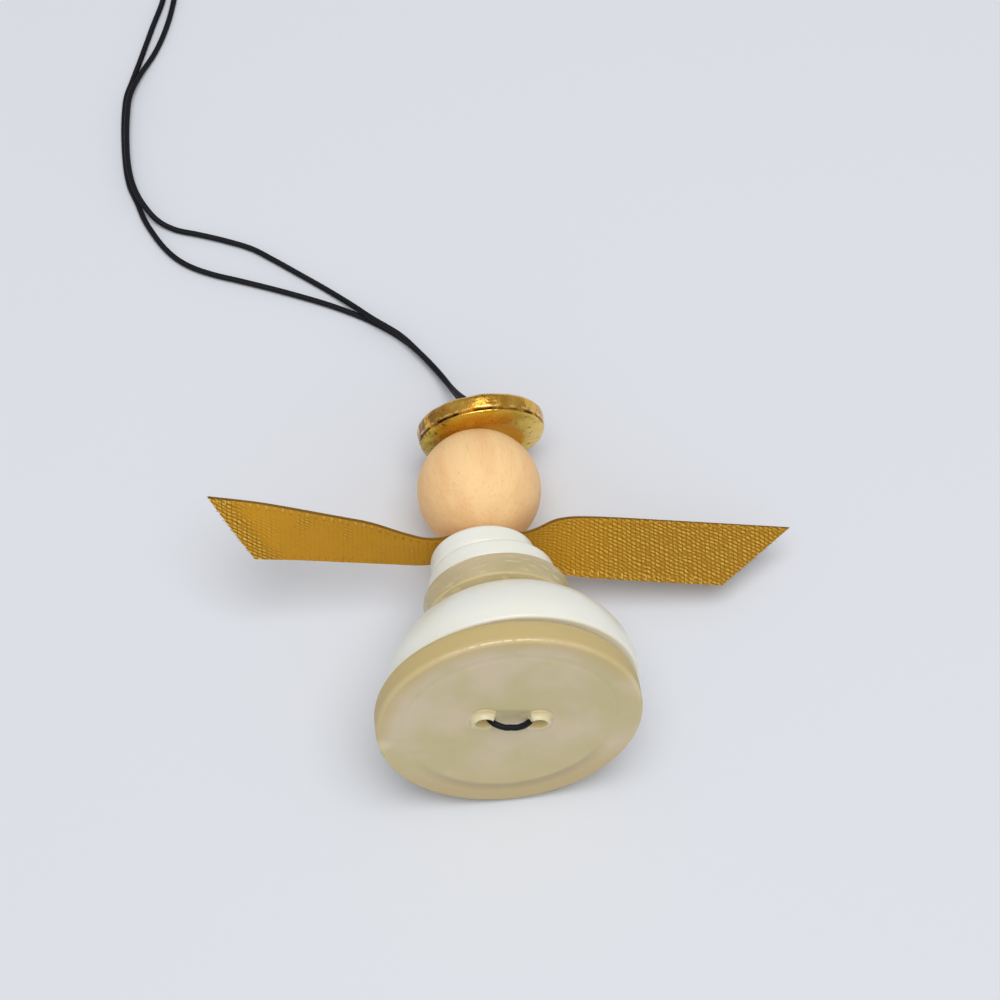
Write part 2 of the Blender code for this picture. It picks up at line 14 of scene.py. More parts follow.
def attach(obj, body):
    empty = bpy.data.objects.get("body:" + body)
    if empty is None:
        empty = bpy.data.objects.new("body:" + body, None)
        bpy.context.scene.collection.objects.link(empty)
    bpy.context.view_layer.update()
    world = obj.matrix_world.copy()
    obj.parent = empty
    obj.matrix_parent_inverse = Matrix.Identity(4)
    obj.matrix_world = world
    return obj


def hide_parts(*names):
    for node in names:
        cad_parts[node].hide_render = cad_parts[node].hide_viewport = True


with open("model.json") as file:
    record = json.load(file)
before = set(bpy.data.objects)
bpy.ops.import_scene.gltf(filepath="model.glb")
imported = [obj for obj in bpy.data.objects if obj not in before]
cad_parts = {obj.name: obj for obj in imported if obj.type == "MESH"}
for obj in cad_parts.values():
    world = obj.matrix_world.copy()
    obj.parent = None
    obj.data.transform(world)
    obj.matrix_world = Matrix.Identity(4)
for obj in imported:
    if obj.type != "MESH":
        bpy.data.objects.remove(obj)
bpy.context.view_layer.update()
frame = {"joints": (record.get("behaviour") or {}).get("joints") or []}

# The camera stands above the base button and looks down along the angel to its halo.
# The wooden head is the fixed point: its centre falls on the same pixel as in the photograph.
MM = 0.001
FRAME_PIXELS = 1000
FOCAL_PIXELS = 3000
HEAD_PIXEL = (479.1, 490.5)
CAMERA_AZIMUTH = 6.6
CAMERA_ELEVATION = 62.0
CAMERA_DISTANCE = 338.7
SENSOR = 36.0


def seat(joint_name):
    """A piece's own frame, on its joint."""
    joint = next(j for j in frame["joints"] if j["name"] == joint_name)
    along = Vector(joint["axis"]).normalized()
    across = Vector((1.0, 0.0, 0.0))
    across = (across - along * across.dot(along)).normalized()
    place = Matrix((across, along.cross(across), along)).transposed().to_4x4()
    place.translation = Vector(joint["pos_m"])
    return place


head_seat = seat("head_spin")
camera_turn = Euler((math.radians(90 - CAMERA_ELEVATION), 0.0, -math.radians(CAMERA_AZIMUTH)))
head_right = (HEAD_PIXEL[0] - FRAME_PIXELS / 2) / FOCAL_PIXELS * CAMERA_DISTANCE
head_up = (FRAME_PIXELS / 2 - HEAD_PIXEL[1]) / FOCAL_PIXELS * CAMERA_DISTANCE
head_seen = Vector((head_right, head_up, -CAMERA_DISTANCE)) * MM
camera_place = head_seat.translation - camera_turn.to_matrix() @ head_seen
bpy.ops.object.camera_add(location=camera_place, rotation=camera_turn)
camera = bpy.context.object
camera.data.sensor_width = SENSOR
camera.data.lens = SENSOR * FOCAL_PIXELS / FRAME_PIXELS
camera.data.clip_start = 0.01
bpy.context.scene.camera = camera

# The table is a plain pale bluish sheet. A wide soft panel hangs above it, a little to the front, and the
# room adds light from all round that is stronger on the side of the camera.
TABLE_SIZE = 4.0
TABLE_DROP = 0.00003
PANEL_PLACE = Vector((0.04, -0.10, 0.73))
PANEL_SIZE = 0.6
PANEL_POWER = 3.4
ROOM_LIGHT = 0.52
ROOM_FADE = 0.6


def tint(red, green, blue):
    """A colour written as screen values from 0 to 255."""
    parts = (v / 255 for v in (red, green, blue))
    return (*(((p + 0.055) / 1.055) ** 2.4 if p > 0.04045 else p / 12.92 for p in parts), 1.0)


def put(tree, kind, values=None, **settings):
    """Adds a node. An input that is given a socket is linked to it, and any other is set."""
    item = tree.nodes.new(kind)
    for key, value in settings.items():
        setattr(item, key, value)
    for key, value in (values or {}).items():
        if isinstance(value, bpy.types.NodeSocket):
            tree.links.new(value, item.inputs[key])
        else:
            item.inputs[key].default_value = value
    return item


def surface(name, roughness):
    """A new material's node tree and its Principled shader."""
    shade = bpy.data.materials.new(name)
    shade.use_nodes = True
    shader = shade.node_tree.nodes["Principled BSDF"]
    shader.inputs["Roughness"].default_value = roughness
    return shade, shade.node_tree, shader


def feed(tree, shader, **inputs):
    """Links or sets the shader's inputs, whose names are written with underscores."""
    for key, value in inputs.items():
        socket = shader.inputs[key.replace("_", " ")]
        if isinstance(value, bpy.types.NodeSocket):
            tree.links.new(value, socket)
        else:
            socket.default_value = value


def axes(tree, vector):
    """The X, Y and Z of a vector."""
    return put(tree, "ShaderNodeSeparateXYZ", {0: vector}).outputs


def mixed(tree, share, first, second):
    """A colour between two others."""
    return put(tree, "ShaderNodeMix", {0: share, 6: first, 7: second}, data_type="RGBA").outputs[2]


bpy.ops.object.select_all(action="DESELECT")
bpy.ops.mesh.primitive_plane_add(size=TABLE_SIZE, location=(0.0, 0.0, -TABLE_DROP))
table = bpy.context.object
table.name = "pale_table"
table_shade, tree, shader = surface("pale_table", 0.6)
feed(tree, shader, Base_Color=tint(222, 225, 231), Specular_IOR_Level=0.2)
table.data.materials.append(table_shade)

panel_aim = (-PANEL_PLACE).to_track_quat("-Z", "Y").to_euler()
bpy.ops.object.light_add(type="AREA", location=PANEL_PLACE, rotation=panel_aim)
panel = bpy.context.object
panel.data.shape = "DISK"
panel.data.size = PANEL_SIZE
panel.data.energy = PANEL_POWER

room = bpy.data.worlds.new("room")
room.use_nodes = True
bpy.context.scene.world = room
tree = room.node_tree
depth = axes(tree, put(tree, "ShaderNodeTexCoord").outputs["Generated"])["Y"]
fade = {"Value": depth, "From Min": ROOM_FADE, "From Max": -ROOM_FADE}
fade = put(tree, "ShaderNodeMapRange", fade).outputs[0]
room_tone = mixed(tree, fade, tint(225, 226, 229), tint(253, 254, 255))
feed(tree, tree.nodes["Background"], Color=room_tone, Strength=ROOM_LIGHT)
bpy.context.scene.view_settings.view_transform = "Standard"

# The cord is one length of round braided navy cord, folded in two. Its fold bridges the holes of the
# base button, both strands climb through the stack, and a coiled knot above the halo holds them tight.
# Past the knot the strands lie on the table, crossing now and then, to the knot that closes the loop.
HEAD_AT = 31.787
CORD_D = 0.7
CORD_SIDES = 16
CORD_STEP = 0.25
BRAID_PITCH = 1.6
BRAID_STARTS = 4
BRAID_RELIEF = 0.05
YARNS_AROUND = 8
YARN_LAY = 12.0
SPLINE_STEPS = 24
FOLD_X = -0.2
FOLD_TURN = 11.0
FOLD_RISE = 0.3
FOLD_END = 3.0
CORE_RIGHT = (
    (-0.2, -1.0), (0.6, -0.97), (1.65, -0.45), (2.15, 0.5), (1.95, 2.97), (2.95, 4.78), (2.95, 12.71),
    (2.25, 14.45), (2.25, 16.25), (1.55, 17.45), (1.55, 19.06), (0.91, 20.58), (0.87, 23.2), (0.64, 24.78),
    (0.55, 27.59), (0.55, 35.99), (1.0, 39.8), (1.0, 41.25), (1.0, 41.93))
CORE_LEFT = (
    (-1.0, -0.97), (-2.05, -0.45), (-2.55, 0.5), (-2.35, 2.97), (-1.55, 4.78), (-1.55, 12.71),
    (-1.75, 14.45), (-1.75, 16.25), (-1.45, 17.45), (-1.45, 19.06), (-1.69, 20.58), (-1.58, 23.2),
    (-0.96, 24.78), (-0.55, 27.59), (-0.55, 35.99), (0.0, 39.8), (0.0, 41.25), (0.0, 41.93))
RIGHT_ROUTE = (
    (-0.75, 46.4, 4.1), (-1.5, 48.7, 2.2), (-2.8, 51.6, 1.2), (-4.6, 54.4, 1.1), (-6.7, 57.1, 1.15),
    (-9.6, 59.6, 1.2), (-12.0, 62.2, 0.7), (-14.6, 64.7, 0.4), (-17.6, 67.2, 0.4), (-20.9, 69.9, 0.4),
    (-23.3, 71.7, 0.4), (-26.4, 73.2, 0.4), (-29.4, 74.4, 0.4), (-32.3, 75.5, 0.4), (-34.4, 77.0, 0.7),
    (-36.0, 79.4, 1.2), (-36.9, 82.0, 1.3), (-37.3, 85.0, 1.3), (-37.3, 88.6, 1.3), (-37.0, 92.4, 1.3),
    (-36.5, 95.4, 1.2), (-35.2, 98.6, 0.7), (-33.0, 102.3, 0.4), (-31.3, 106.2, 0.4), (-30.1, 110.4, 0.4),
    (-29.2, 115.0, 0.4), (-29.0, 119.5, 0.4), (-29.4, 124.0, 0.4), (-29.8, 127.0, 0.4))
LEFT_ROUTE = (
    (-0.6, 46.2, 3.2), (-1.2, 48.6, 1.4), (-2.5, 51.6, 0.55), (-4.5, 54.7, 0.4), (-6.8, 57.3, 0.4),
    (-9.9, 59.8, 0.4), (-12.6, 61.5, 0.4), (-15.8, 63.2, 0.4), (-20.6, 65.4, 0.4), (-24.9, 67.2, 0.4),
    (-27.9, 68.4, 0.4), (-30.4, 69.7, 0.4), (-32.3, 71.2, 0.4), (-33.8, 73.1, 0.4), (-35.0, 75.3, 0.4),
    (-35.9, 77.4, 0.4), (-36.6, 79.9, 0.4), (-37.4, 82.6, 0.4), (-37.7, 86.0, 0.4), (-37.6, 91.0, 0.4),
    (-37.1, 95.4, 0.4), (-36.2, 98.0, 0.4), (-34.9, 101.4, 0.4), (-33.2, 106.0, 0.4), (-31.5, 110.5, 0.4),
    (-30.6, 115.0, 0.4), (-30.5, 119.5, 0.4), (-30.8, 124.0, 0.4), (-31.0, 127.0, 0.4))
STOP_KNOT_AT = 42.23
STOP_KNOT_D = 3.0
STOP_KNOT_L = 2.4
STRAND_LEAVES_AT = 43.8
STRAND_BEND = 0.9
LOOP_KNOT_D = 2.6
LOOP_KNOT_L = 3.4
LOOP_KNOT_STANDOFF = 0.8
KNOT_CORD_X = 0.5
KNOT_TURN_STEPS = 12
KNOT_TUCK = 5
KNOT_TUCKED_IN = 0.35
STRAND_APART = 1.0

stack = head_seat @ Matrix.Translation((0.0, 0.0, -HEAD_AT * MM))
foot = Vector((stack.translation.x, stack.translation.y, 0.0)) / MM


def smooth_run(points, step):
    """Evenly spaced points, in millimetres, on a smooth curve through a route's own points."""
    route = [Vector(p) for p in points]
    route = [2 * route[0] - route[1]] + route + [2 * route[-1] - route[-2]]
    fine = []
    for p0, p1, p2, p3 in zip(route, route[1:], route[2:], route[3:]):
        for i in range(SPLINE_STEPS):
            t = i / SPLINE_STEPS
            fine.append(0.5 * (2 * p1 + (p2 - p0) * t + (2 * p0 - 5 * p1 + 4 * p2 - p3) * t ** 2
                               + (3 * p1 - p0 - 3 * p2 + p3) * t ** 3))
    fine.append(route[-2])
    run = [fine[0]]
    left = step
    for a, b in zip(fine, fine[1:]):
        gap = (b - a).length
        while left <= gap:
            run.append(a.lerp(b, left / gap))
            left += step
        left -= gap
    return run


def braided_cord(name, run):
    """A round cord along a run of points, with the low diamonds of a tight braid pressed into it."""
    sideways = (run[1] - run[0]).orthogonal().normalized()
    vertices = []
    for i, point in enumerate(run):
        ahead = (run[min(i + 1, len(run) - 1)] - run[max(i - 1, 0)]).normalized()
        sideways = (sideways - ahead * sideways.dot(ahead)).normalized()
        third = ahead.cross(sideways)
        for j in range(CORD_SIDES):
            turn = 2 * math.pi * j / CORD_SIDES
            lay = 2 * math.pi * i * CORD_STEP / BRAID_PITCH
            ridge = math.cos(BRAID_STARTS * turn + lay) * math.cos(BRAID_STARTS * turn - lay)
            radius = CORD_D / 2 * (1 - BRAID_RELIEF * (1 - ridge) / 2)
            vertices.append((point + (sideways * math.cos(turn) + third * math.sin(turn)) * radius) * MM)
    faces, corners = [], []
    for i in range(len(run) - 1):
        for j in range(CORD_SIDES):
            k = (j + 1) % CORD_SIDES
            ring = i * CORD_SIDES
            faces.append((ring + j, ring + k, ring + CORD_SIDES + k, ring + CORD_SIDES + j))
            low, high = i * CORD_STEP, (i + 1) * CORD_STEP
            around, beyond = j / CORD_SIDES, (j + 1) / CORD_SIDES
            corners += [(around, low), (beyond, low), (beyond, high), (around, high)]
    last = (len(run) - 1) * CORD_SIDES
    faces.append(tuple(reversed(range(CORD_SIDES))))
    faces.append(tuple(range(last, last + CORD_SIDES)))
    corners += [(0.0, 0.0)] * (2 * CORD_SIDES)
    mesh = bpy.data.meshes.new(name)
    mesh.from_pydata(vertices, [], faces)
    spread = mesh.uv_layers.new(name="along_the_cord")
    for loop, corner in zip(spread.data, corners):
        loop.uv = corner
    mesh.shade_smooth()
    cord = bpy.data.objects.new(name, mesh)
    bpy.context.scene.collection.objects.link(cord)
    return cord


def coiled_knot(name, place, diameter, length):
    """A barrel of close turns of the cord, tucked in at both ends, round the strands that it ties."""
    radius = (diameter - CORD_D) / 2
    rise = length - CORD_D
    turns = max(2, round(rise / CORD_D))
    points = []
    steps = KNOT_TURN_STEPS * turns
    for i in range(steps + 1):
        part = i / steps
        reach = radius * min(1.0, KNOT_TUCK * part + KNOT_TUCKED_IN, KNOT_TUCK * (1 - part) + KNOT_TUCKED_IN)
        angle = 2 * math.pi * turns * part
        spot = Vector((reach * math.cos(angle), reach * math.sin(angle), CORD_D / 2 + rise * part))
        points.append(place @ spot)
    return braided_cord(name, smooth_run(points, CORD_STEP))


def calc(tree, how, first, second=0.0):
    """A step of arithmetic on one or two values."""
    return put(tree, "ShaderNodeMath", {0: first, 1: second}, operation=how).outputs[0]


def times(tree, first, second):
    """Two values multiplied."""
    return calc(tree, "MULTIPLY", first, second)


def bumps(tree, height, strength, distance):
    """A normal that follows small bumps, with the distance in millimetres."""
    values = {"Height": height, "Strength": strength, "Distance": distance * MM}
    return put(tree, "ShaderNodeBump", values).outputs[0]


def navy_braid():
    """Waxed navy yarn, almost black, with the crossing yarns of the braid and a faint sheen."""
    shade, tree, shader = surface("navy_braid", 0.55)
    around, along, _ = axes(tree, put(tree, "ShaderNodeUVMap", uv_map="along_the_cord").outputs[0])
    waves = []
    for lean in (1.0, -1.0):
        turn = times(tree, around, YARNS_AROUND * 2 * math.pi)
        waves.append(calc(tree, "SINE", calc(tree, "ADD", turn, times(tree, along, lean * YARN_LAY))))
    yarn = calc(tree, "MAXIMUM", *waves)
    lift = put(tree, "ShaderNodeMapRange", {"Value": yarn, "From Min": 0.0, "From Max": 1.0}).outputs[0]
    feed(tree, shader, Base_Color=mixed(tree, lift, tint(6, 6, 10), tint(21, 21, 30)),
         Normal=bumps(tree, lift, 0.35, 0.05), Specular_IOR_Level=0.22)
    return shade


navy = navy_braid()
core_run = [Vector((x, 0.0, s)) for x, s in CORE_LEFT[::-1] + CORE_RIGHT]
fold_turn = Matrix.Translation((FOLD_X, 0.0, 0.0)) @ Matrix.Rotation(math.radians(FOLD_TURN), 4, "Z")
fold_turn = fold_turn @ Matrix.Translation((-FOLD_X, -FOLD_RISE, 0.0))
in_stack = Matrix.Scale(1 / MM, 4) @ stack @ Matrix.Scale(MM, 4)
core_run = [in_stack @ (fold_turn @ p if p.z < FOLD_END else p) for p in core_run]
cord_inside = braided_cord("cord_inside", smooth_run(core_run, CORD_STEP))
cord_inside.data.materials.append(navy)
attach(cord_inside, "cord_and_base")
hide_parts("cord_core")

stop_place = in_stack @ Matrix.Translation((KNOT_CORD_X, 0.0, STOP_KNOT_AT))
stop_knot = coiled_knot("stop_knot_coil", stop_place, STOP_KNOT_D, STOP_KNOT_L)
ends = [Vector(route[-1]) for route in (RIGHT_ROUTE, LEFT_ROUTE)]
before = [Vector(route[-2]) for route in (RIGHT_ROUTE, LEFT_ROUTE)]
loop_way = (ends[0] + ends[1] - before[0] - before[1]).normalized()
loop_start = foot + (ends[0] + ends[1]) / 2 + loop_way * LOOP_KNOT_STANDOFF
loop_start.z = LOOP_KNOT_D / 2 + CORD_D / 2
loop_turn = loop_way.to_track_quat("Z", "Y").to_matrix().to_4x4()
loop_place = Matrix.Translation(loop_start) @ loop_turn
loop_knot = coiled_knot("loop_knot_coil", loop_place, LOOP_KNOT_D, LOOP_KNOT_L)
for knot, node in ((stop_knot, "stop_knot"), (loop_knot, "end_knot")):
    knot.data.materials.append(navy)
    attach(knot, "cord_and_base")
    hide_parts(node)

for name, side, route in (("right", 1, RIGHT_ROUTE), ("left", -1, LEFT_ROUTE)):
    x = KNOT_CORD_X + side * STRAND_APART / 2
    points = [in_stack @ Vector((x, 0.0, STRAND_LEAVES_AT)),
              in_stack @ Vector((x - STRAND_BEND, 0.0, STRAND_LEAVES_AT + 2 * CORD_D))]
    points += [foot + Vector(p) for p in route]
    points.append(loop_start + loop_way * LOOP_KNOT_L / 2)
    run = smooth_run(points, CORD_STEP)
    strand = braided_cord(f"strand_{name}", run)
    strand.data.materials.append(navy)
    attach(strand, "cord_and_base")
    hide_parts(f"cord_strand_{name}")

# The base button is cast in translucent horn-coloured resin and threaded flat side out. A lip and a soft
# groove run round its face, and two raised collars with a saddle between them lead the fold of the cord.
BASE_AT = -0.3
BASE_TIP = -1.2
BASE_D = 28.6
BASE_T = 3.3
BASE_BACK_ROUND = 1.2
BASE_FRONT_ROUND = 0.45
BASE_LIP = 1.8
BASE_GROOVE_W = 1.1
BASE_GROOVE_DEPTH = 0.06
BASE_GROOVE_STEPS = 8
BASE_RING_STEP = 0.4
BASE_HOLE_PITCH = 5.8
BASE_HOLE_RISE = 0.5
BASE_HOLE_D = 2.1
COLLAR_D = 4.0
COLLAR_LIP_D = 2.9
COLLAR_SQUEEZE = 0.92
COLLAR_LIP_ROUND = 0.17
COLLAR_H = 0.75
COLLAR_LEAN = 14.5
COLLAR_SINK = 0.28
COLLAR_FOOT = 0.05
COLLAR_FLARE = 0.06
COLLAR_WALL = 0.11
COLLAR_HOLLOW = 0.7
COLLAR_HOLLOW_AT = 0.72
SADDLE_R = 7.0
SADDLE_L = 4.2
SADDLE_DEPTH = 0.25
SADDLE_TAPER = 0.2
SADDLE_EASE = 0.25
TURN_STEPS = 160
HOLE_STEPS = 48
HOLE_ROUND = 0.25
HOLE_PAST = 1.0
WELD = 0.000001
CREASE = 35
HORN_SATIN = 0.36
HORN_MATT = 0.62
HORN_SCATTER = 1.5
CHAFE_AT = (-13.7, 1.6, 0.2)
BLACK = (0.0, 0.0, 0.0, 1.0)


def arc(center_r, center_h, radius, start, end, steps=8, radius_h=None):
    """Points of a round or flattened arc, with 0 degrees outward and 90 degrees towards the halo."""
    tall = radius if radius_h is None else radius_h
    angles = [math.radians(start + (end - start) * i / steps) for i in range(steps + 1)]
    return [(center_r + radius * math.cos(a), center_h + tall * math.sin(a)) for a in angles]


def choose(piece):
    """Leaves one piece selected and active."""
    bpy.ops.object.select_all(action="DESELECT")
    piece.select_set(True)
    bpy.context.view_layer.objects.active = piece


def turned(name, profile, home, steps=TURN_STEPS, closed=False):
    """Draws a profile by extruding a point along it, spins it round its own axis and sets it in place."""
    bpy.ops.object.select_all(action="DESELECT")
    bpy.ops.mesh.primitive_plane_add(size=MM)
    piece = bpy.context.object
    piece.name = name
    piece.data.name = name
    bpy.ops.object.mode_set(mode="EDIT")
    bpy.ops.mesh.select_all(action="SELECT")
    bpy.ops.mesh.merge(type="CENTER")
    drawn = Vector((0.0, 0.0, 0.0))
    outline = profile + profile[:1] if closed else profile
    for number, (radius, height) in enumerate(outline):
        move = Vector((radius, 0.0, height)) * MM - drawn
        if number == 0:
            bpy.ops.transform.translate(value=move)
        else:
            bpy.ops.mesh.extrude_vertices_move(TRANSFORM_OT_translate={"value": move})
        drawn += move
    bpy.ops.mesh.select_all(action="SELECT")
    bpy.ops.mesh.spin(steps=steps, angle=2 * math.pi, center=(0.0, 0.0, 0.0), axis=(0.0, 0.0, 1.0))
    bpy.ops.mesh.select_all(action="SELECT")
    bpy.ops.mesh.remove_doubles(threshold=WELD)
    bpy.ops.mesh.normals_make_consistent(inside=False)
    bpy.ops.object.mode_set(mode="OBJECT")
    piece.matrix_world = home
    bpy.ops.object.transform_apply(location=True, rotation=True, scale=True)
    bpy.ops.object.shade_smooth_by_angle(angle=math.radians(CREASE))
    return piece


def carve(piece, tool, how="DIFFERENCE"):
    """Cuts a tool out of a piece, or joins it on, and takes the tool away."""
    choose(piece)
    step = piece.modifiers.new("carve", "BOOLEAN")
    step.operation = how
    step.solver = "MANIFOLD"
    step.object = tool
    bpy.ops.object.modifier_apply(modifier=step.name)
    bpy.data.objects.remove(tool, do_unlink=True)
    # The solver leaves an empty material slot behind
    piece.data.materials.clear()
    bpy.ops.object.shade_smooth_by_angle(angle=math.radians(CREASE))


def thread_hole(piece, home, x, diameter, low, high):
    """Drills a hole whose two mouths are rounded off for the cord."""
    wide = diameter / 2 + HOLE_ROUND
    profile = [(0.0, low - HOLE_PAST), (wide, low - HOLE_PAST)]
    profile += arc(wide, low + HOLE_ROUND, HOLE_ROUND, 270, 180, 5)
    profile += arc(wide, high - HOLE_ROUND, HOLE_ROUND, 180, 90, 5)
    profile += [(wide, high + HOLE_PAST), (0.0, high + HOLE_PAST)]
    place = home @ Matrix.Translation((x * MM, 0.0, 0.0))
    carve(piece, turned("thread_drill", profile, place, HOLE_STEPS))


def own_place(tree, home):
    """Object coordinates turned into a piece's own frame, in millimetres."""
    spot = put(tree, "ShaderNodeTexCoord").outputs["Object"]
    values = {"Vector": spot, "Scale": (MM, MM, MM),
              "Location": home.translation, "Rotation": home.to_euler()}
    return put(tree, "ShaderNodeMapping", values, vector_type="TEXTURE").outputs[0]


def apart(tree, value, level):
    """Distance of a value from a level."""
    return calc(tree, "ABSOLUTE", calc(tree, "SUBTRACT", value, level))


def span(tree, value, low, high, start=0.0, end=1.0):
    """A value stretched from one range to another and held at both ends, with soft shoulders."""
    values = {"Value": value, "From Min": low, "From Max": high, "To Min": start, "To Max": end}
    return put(tree, "ShaderNodeMapRange", values, interpolation_type="SMOOTHSTEP").outputs[0]


def noise(tree, where, scale, detail=3.0, roughness=0.5):
    """Soft random patches from 0 to 1."""
    values = {"Vector": where, "Scale": scale, "Detail": detail, "Roughness": roughness}
    return put(tree, "ShaderNodeTexNoise", values).outputs[0]


def vector_calc(tree, how, first, second=(0.0, 0.0, 0.0)):
    """A step of arithmetic on one or two vectors."""
    return put(tree, "ShaderNodeVectorMath", {0: first, 1: second}, operation=how).outputs


def off_axis(tree, place, x=0.0, y=0.0):
    """Distance from a line along the stack."""
    moved = vector_calc(tree, "SUBTRACT", place, (x, y, 0.0))[0]
    flat = vector_calc(tree, "MULTIPLY", moved, (1.0, 1.0, 0.0))[0]
    return vector_calc(tree, "LENGTH", flat)["Value"]


def handled_surface():
    """Marks that handling leaves on any of the pieces: broad patches, small specks and a fine unevenness."""
    group = bpy.data.node_groups.new("handled_surface", "ShaderNodeTree")
    group.interface.new_socket("Place", in_out="INPUT", socket_type="NodeSocketVector")
    group.interface.new_socket("Patch Scale", in_out="INPUT", socket_type="NodeSocketFloat")
    group.interface.new_socket("Speck Scale", in_out="INPUT", socket_type="NodeSocketFloat")
    for name in ("Patches", "Specks", "Height"):
        group.interface.new_socket(name, in_out="OUTPUT", socket_type="NodeSocketFloat")
    given = group.nodes.new("NodeGroupInput")
    made = group.nodes.new("NodeGroupOutput")
    patches = noise(group, given.outputs["Place"], given.outputs["Patch Scale"])
    specks = noise(group, given.outputs["Place"], given.outputs["Speck Scale"], 2.0)
    fine = noise(group, given.outputs["Place"], given.outputs["Speck Scale"], 5.0, 0.6)
    group.links.new(span(group, patches, 0.35, 0.65), made.inputs["Patches"])
    group.links.new(span(group, specks, 0.62, 0.72), made.inputs["Specks"])
    group.links.new(fine, made.inputs["Height"])
    return group


handling = handled_surface()


def marks_on(tree, place, patch_scale, speck_scale):
    """The marks of handling at a place: Patches, Specks and Height."""
    values = {"Place": place, "Patch Scale": patch_scale, "Speck Scale": speck_scale}
    return put(tree, "ShaderNodeGroup", values, node_tree=handling).outputs


def horn_resin(name, home, middle, patch, wall, wall_from):
    """Satin horn-coloured resin: two soft tones in patches, and a warmer, clearer one up its side wall."""
    shade, tree, shader = surface(name, HORN_SATIN)
    place = own_place(tree, home)
    marks = marks_on(tree, place, 0.13, 2.6)
    tone = mixed(tree, marks["Patches"], middle, patch)
    tone = mixed(tree, span(tree, axes(tree, place)["Z"], wall_from - 0.2, wall_from + 0.3), tone, wall)
    tone = mixed(tree, times(tree, marks["Specks"], 0.12), tone, tint(226, 212, 168))
    feed(tree, shader, Subsurface_Weight=0.4, Subsurface_Radius=(1.0, 0.8, 0.45),
         Subsurface_Scale=HORN_SCATTER * MM)
    return shade, tree, shader, place, tone


base_seat = stack @ Matrix.Translation((FOLD_X * MM, 0.0, BASE_AT * MM))
base_seat = base_seat @ Matrix.Rotation(math.radians(BASE_TIP), 4, "X")
base_r = BASE_D / 2
base_profile = [(0.0, BASE_T), (base_r / 2, BASE_T)]
base_profile += arc(base_r - BASE_BACK_ROUND, BASE_T - BASE_BACK_ROUND, BASE_BACK_ROUND, 90, 0)
base_profile += arc(base_r - BASE_FRONT_ROUND, BASE_FRONT_ROUND, BASE_FRONT_ROUND, 0, -90)
lip_r = base_r - BASE_FRONT_ROUND - BASE_LIP
for i in range(BASE_GROOVE_STEPS + 1):
    dip = BASE_GROOVE_DEPTH * (1 - math.cos(2 * math.pi * i / BASE_GROOVE_STEPS)) / 2
    base_profile.append((lip_r - BASE_GROOVE_W * i / BASE_GROOVE_STEPS, dip))
face_r = lip_r - BASE_GROOVE_W
rings = round(face_r / BASE_RING_STEP)
base_profile += [(face_r * (1 - i / rings), 0.0) for i in range(1, rings + 1)]
base = turned("base_button_cast", base_profile, base_seat)
fold_seat = base_seat @ Matrix.Rotation(math.radians(FOLD_TURN), 4, "Z")
fold_seat = fold_seat @ Matrix.Translation((0.0, -BASE_HOLE_RISE * MM, 0.0))
lip = COLLAR_LIP_D / 2
root = 2 * BASE_FRONT_ROUND
collar_profile = [(0.0, root), (COLLAR_D / 2, root), (COLLAR_D / 2, COLLAR_FOOT)]
hollow_r = COLLAR_D / 2 - lip - COLLAR_WALL
collar_profile += arc(COLLAR_D / 2 + COLLAR_FLARE, -COLLAR_H * COLLAR_HOLLOW_AT, hollow_r, 90, 180, 6,
                      radius_h=COLLAR_H * COLLAR_HOLLOW)
collar_profile += arc(lip, COLLAR_LIP_ROUND - COLLAR_H, COLLAR_LIP_ROUND, 0, -90, 5)
collar_profile.append((0.0, -COLLAR_H))
for side in (-1, 1):
    collar_place = fold_seat @ Matrix.Translation((side * BASE_HOLE_PITCH / 2 * MM, 0.0, COLLAR_SINK * MM))
    collar_place = collar_place @ Matrix.Rotation(math.radians(COLLAR_LEAN), 4, "X")
    collar_place = collar_place @ Matrix.Diagonal((COLLAR_SQUEEZE, 1.0, 1.0, 1.0))
    carve(base, turned("collar_tool", collar_profile, collar_place, 2 * HOLE_STEPS), "UNION")
saddle_place = fold_seat @ Matrix.Translation((0.0, 0.0, (SADDLE_DEPTH - SADDLE_R) * MM))
saddle_place = saddle_place @ Matrix.Rotation(math.pi / 2, 4, "Y")
half = SADDLE_L / 2
saddle_profile = [(0.0, half + SADDLE_TAPER), (0.8 * SADDLE_R, half + 0.75 * SADDLE_TAPER)]
saddle_profile += [(SADDLE_R, half - SADDLE_EASE), (SADDLE_R, SADDLE_EASE - half)]
saddle_profile += [(0.8 * SADDLE_R, -half - 0.75 * SADDLE_TAPER), (0.0, -half - SADDLE_TAPER)]
carve(base, turned("saddle_tool", saddle_profile, saddle_place, 2 * HOLE_STEPS))
for side in (-1, 1):
    thread_hole(base, fold_seat, side * BASE_HOLE_PITCH / 2, BASE_HOLE_D, -COLLAR_H, BASE_T)

base_shade, tree, shader, place, tone = horn_resin(
    "horn_resin_base", base_seat, tint(218, 201, 170), tint(205, 192, 143), tint(197, 178, 122),
    BASE_FRONT_ROUND)
across, down, depth = axes(tree, place)
radius = off_axis(tree, place)
tone = mixed(tree, span(tree, down, 3.0, 12.0, 0.0, 0.6), tone, tint(206, 190, 136))
fringe = span(tree, calc(tree, "ADD", down, times(tree, across, 0.25)), 0.0, -5.0, 0.0, 0.65)
fringe = times(tree, fringe, span(tree, radius, base_r - 2.2, base_r - 0.5))
tone = mixed(tree, fringe, tone, tint(203, 180, 124))
foot_band = times(tree, span(tree, radius, lip_r - 0.3, lip_r), span(tree, down, 5.0, 11.0, 0.0, 0.8))
tone = mixed(tree, foot_band, tone, tint(200, 178, 130))
# The groove is painted darker towards the bottom: painted shade in the recess.
groove_shade = span(tree, apart(tree, radius, lip_r - BASE_GROOVE_W / 2), 0.9, 0.1)
groove_shade = times(tree, groove_shade, span(tree, down, 4.0, 11.0, 0.0, 0.75))
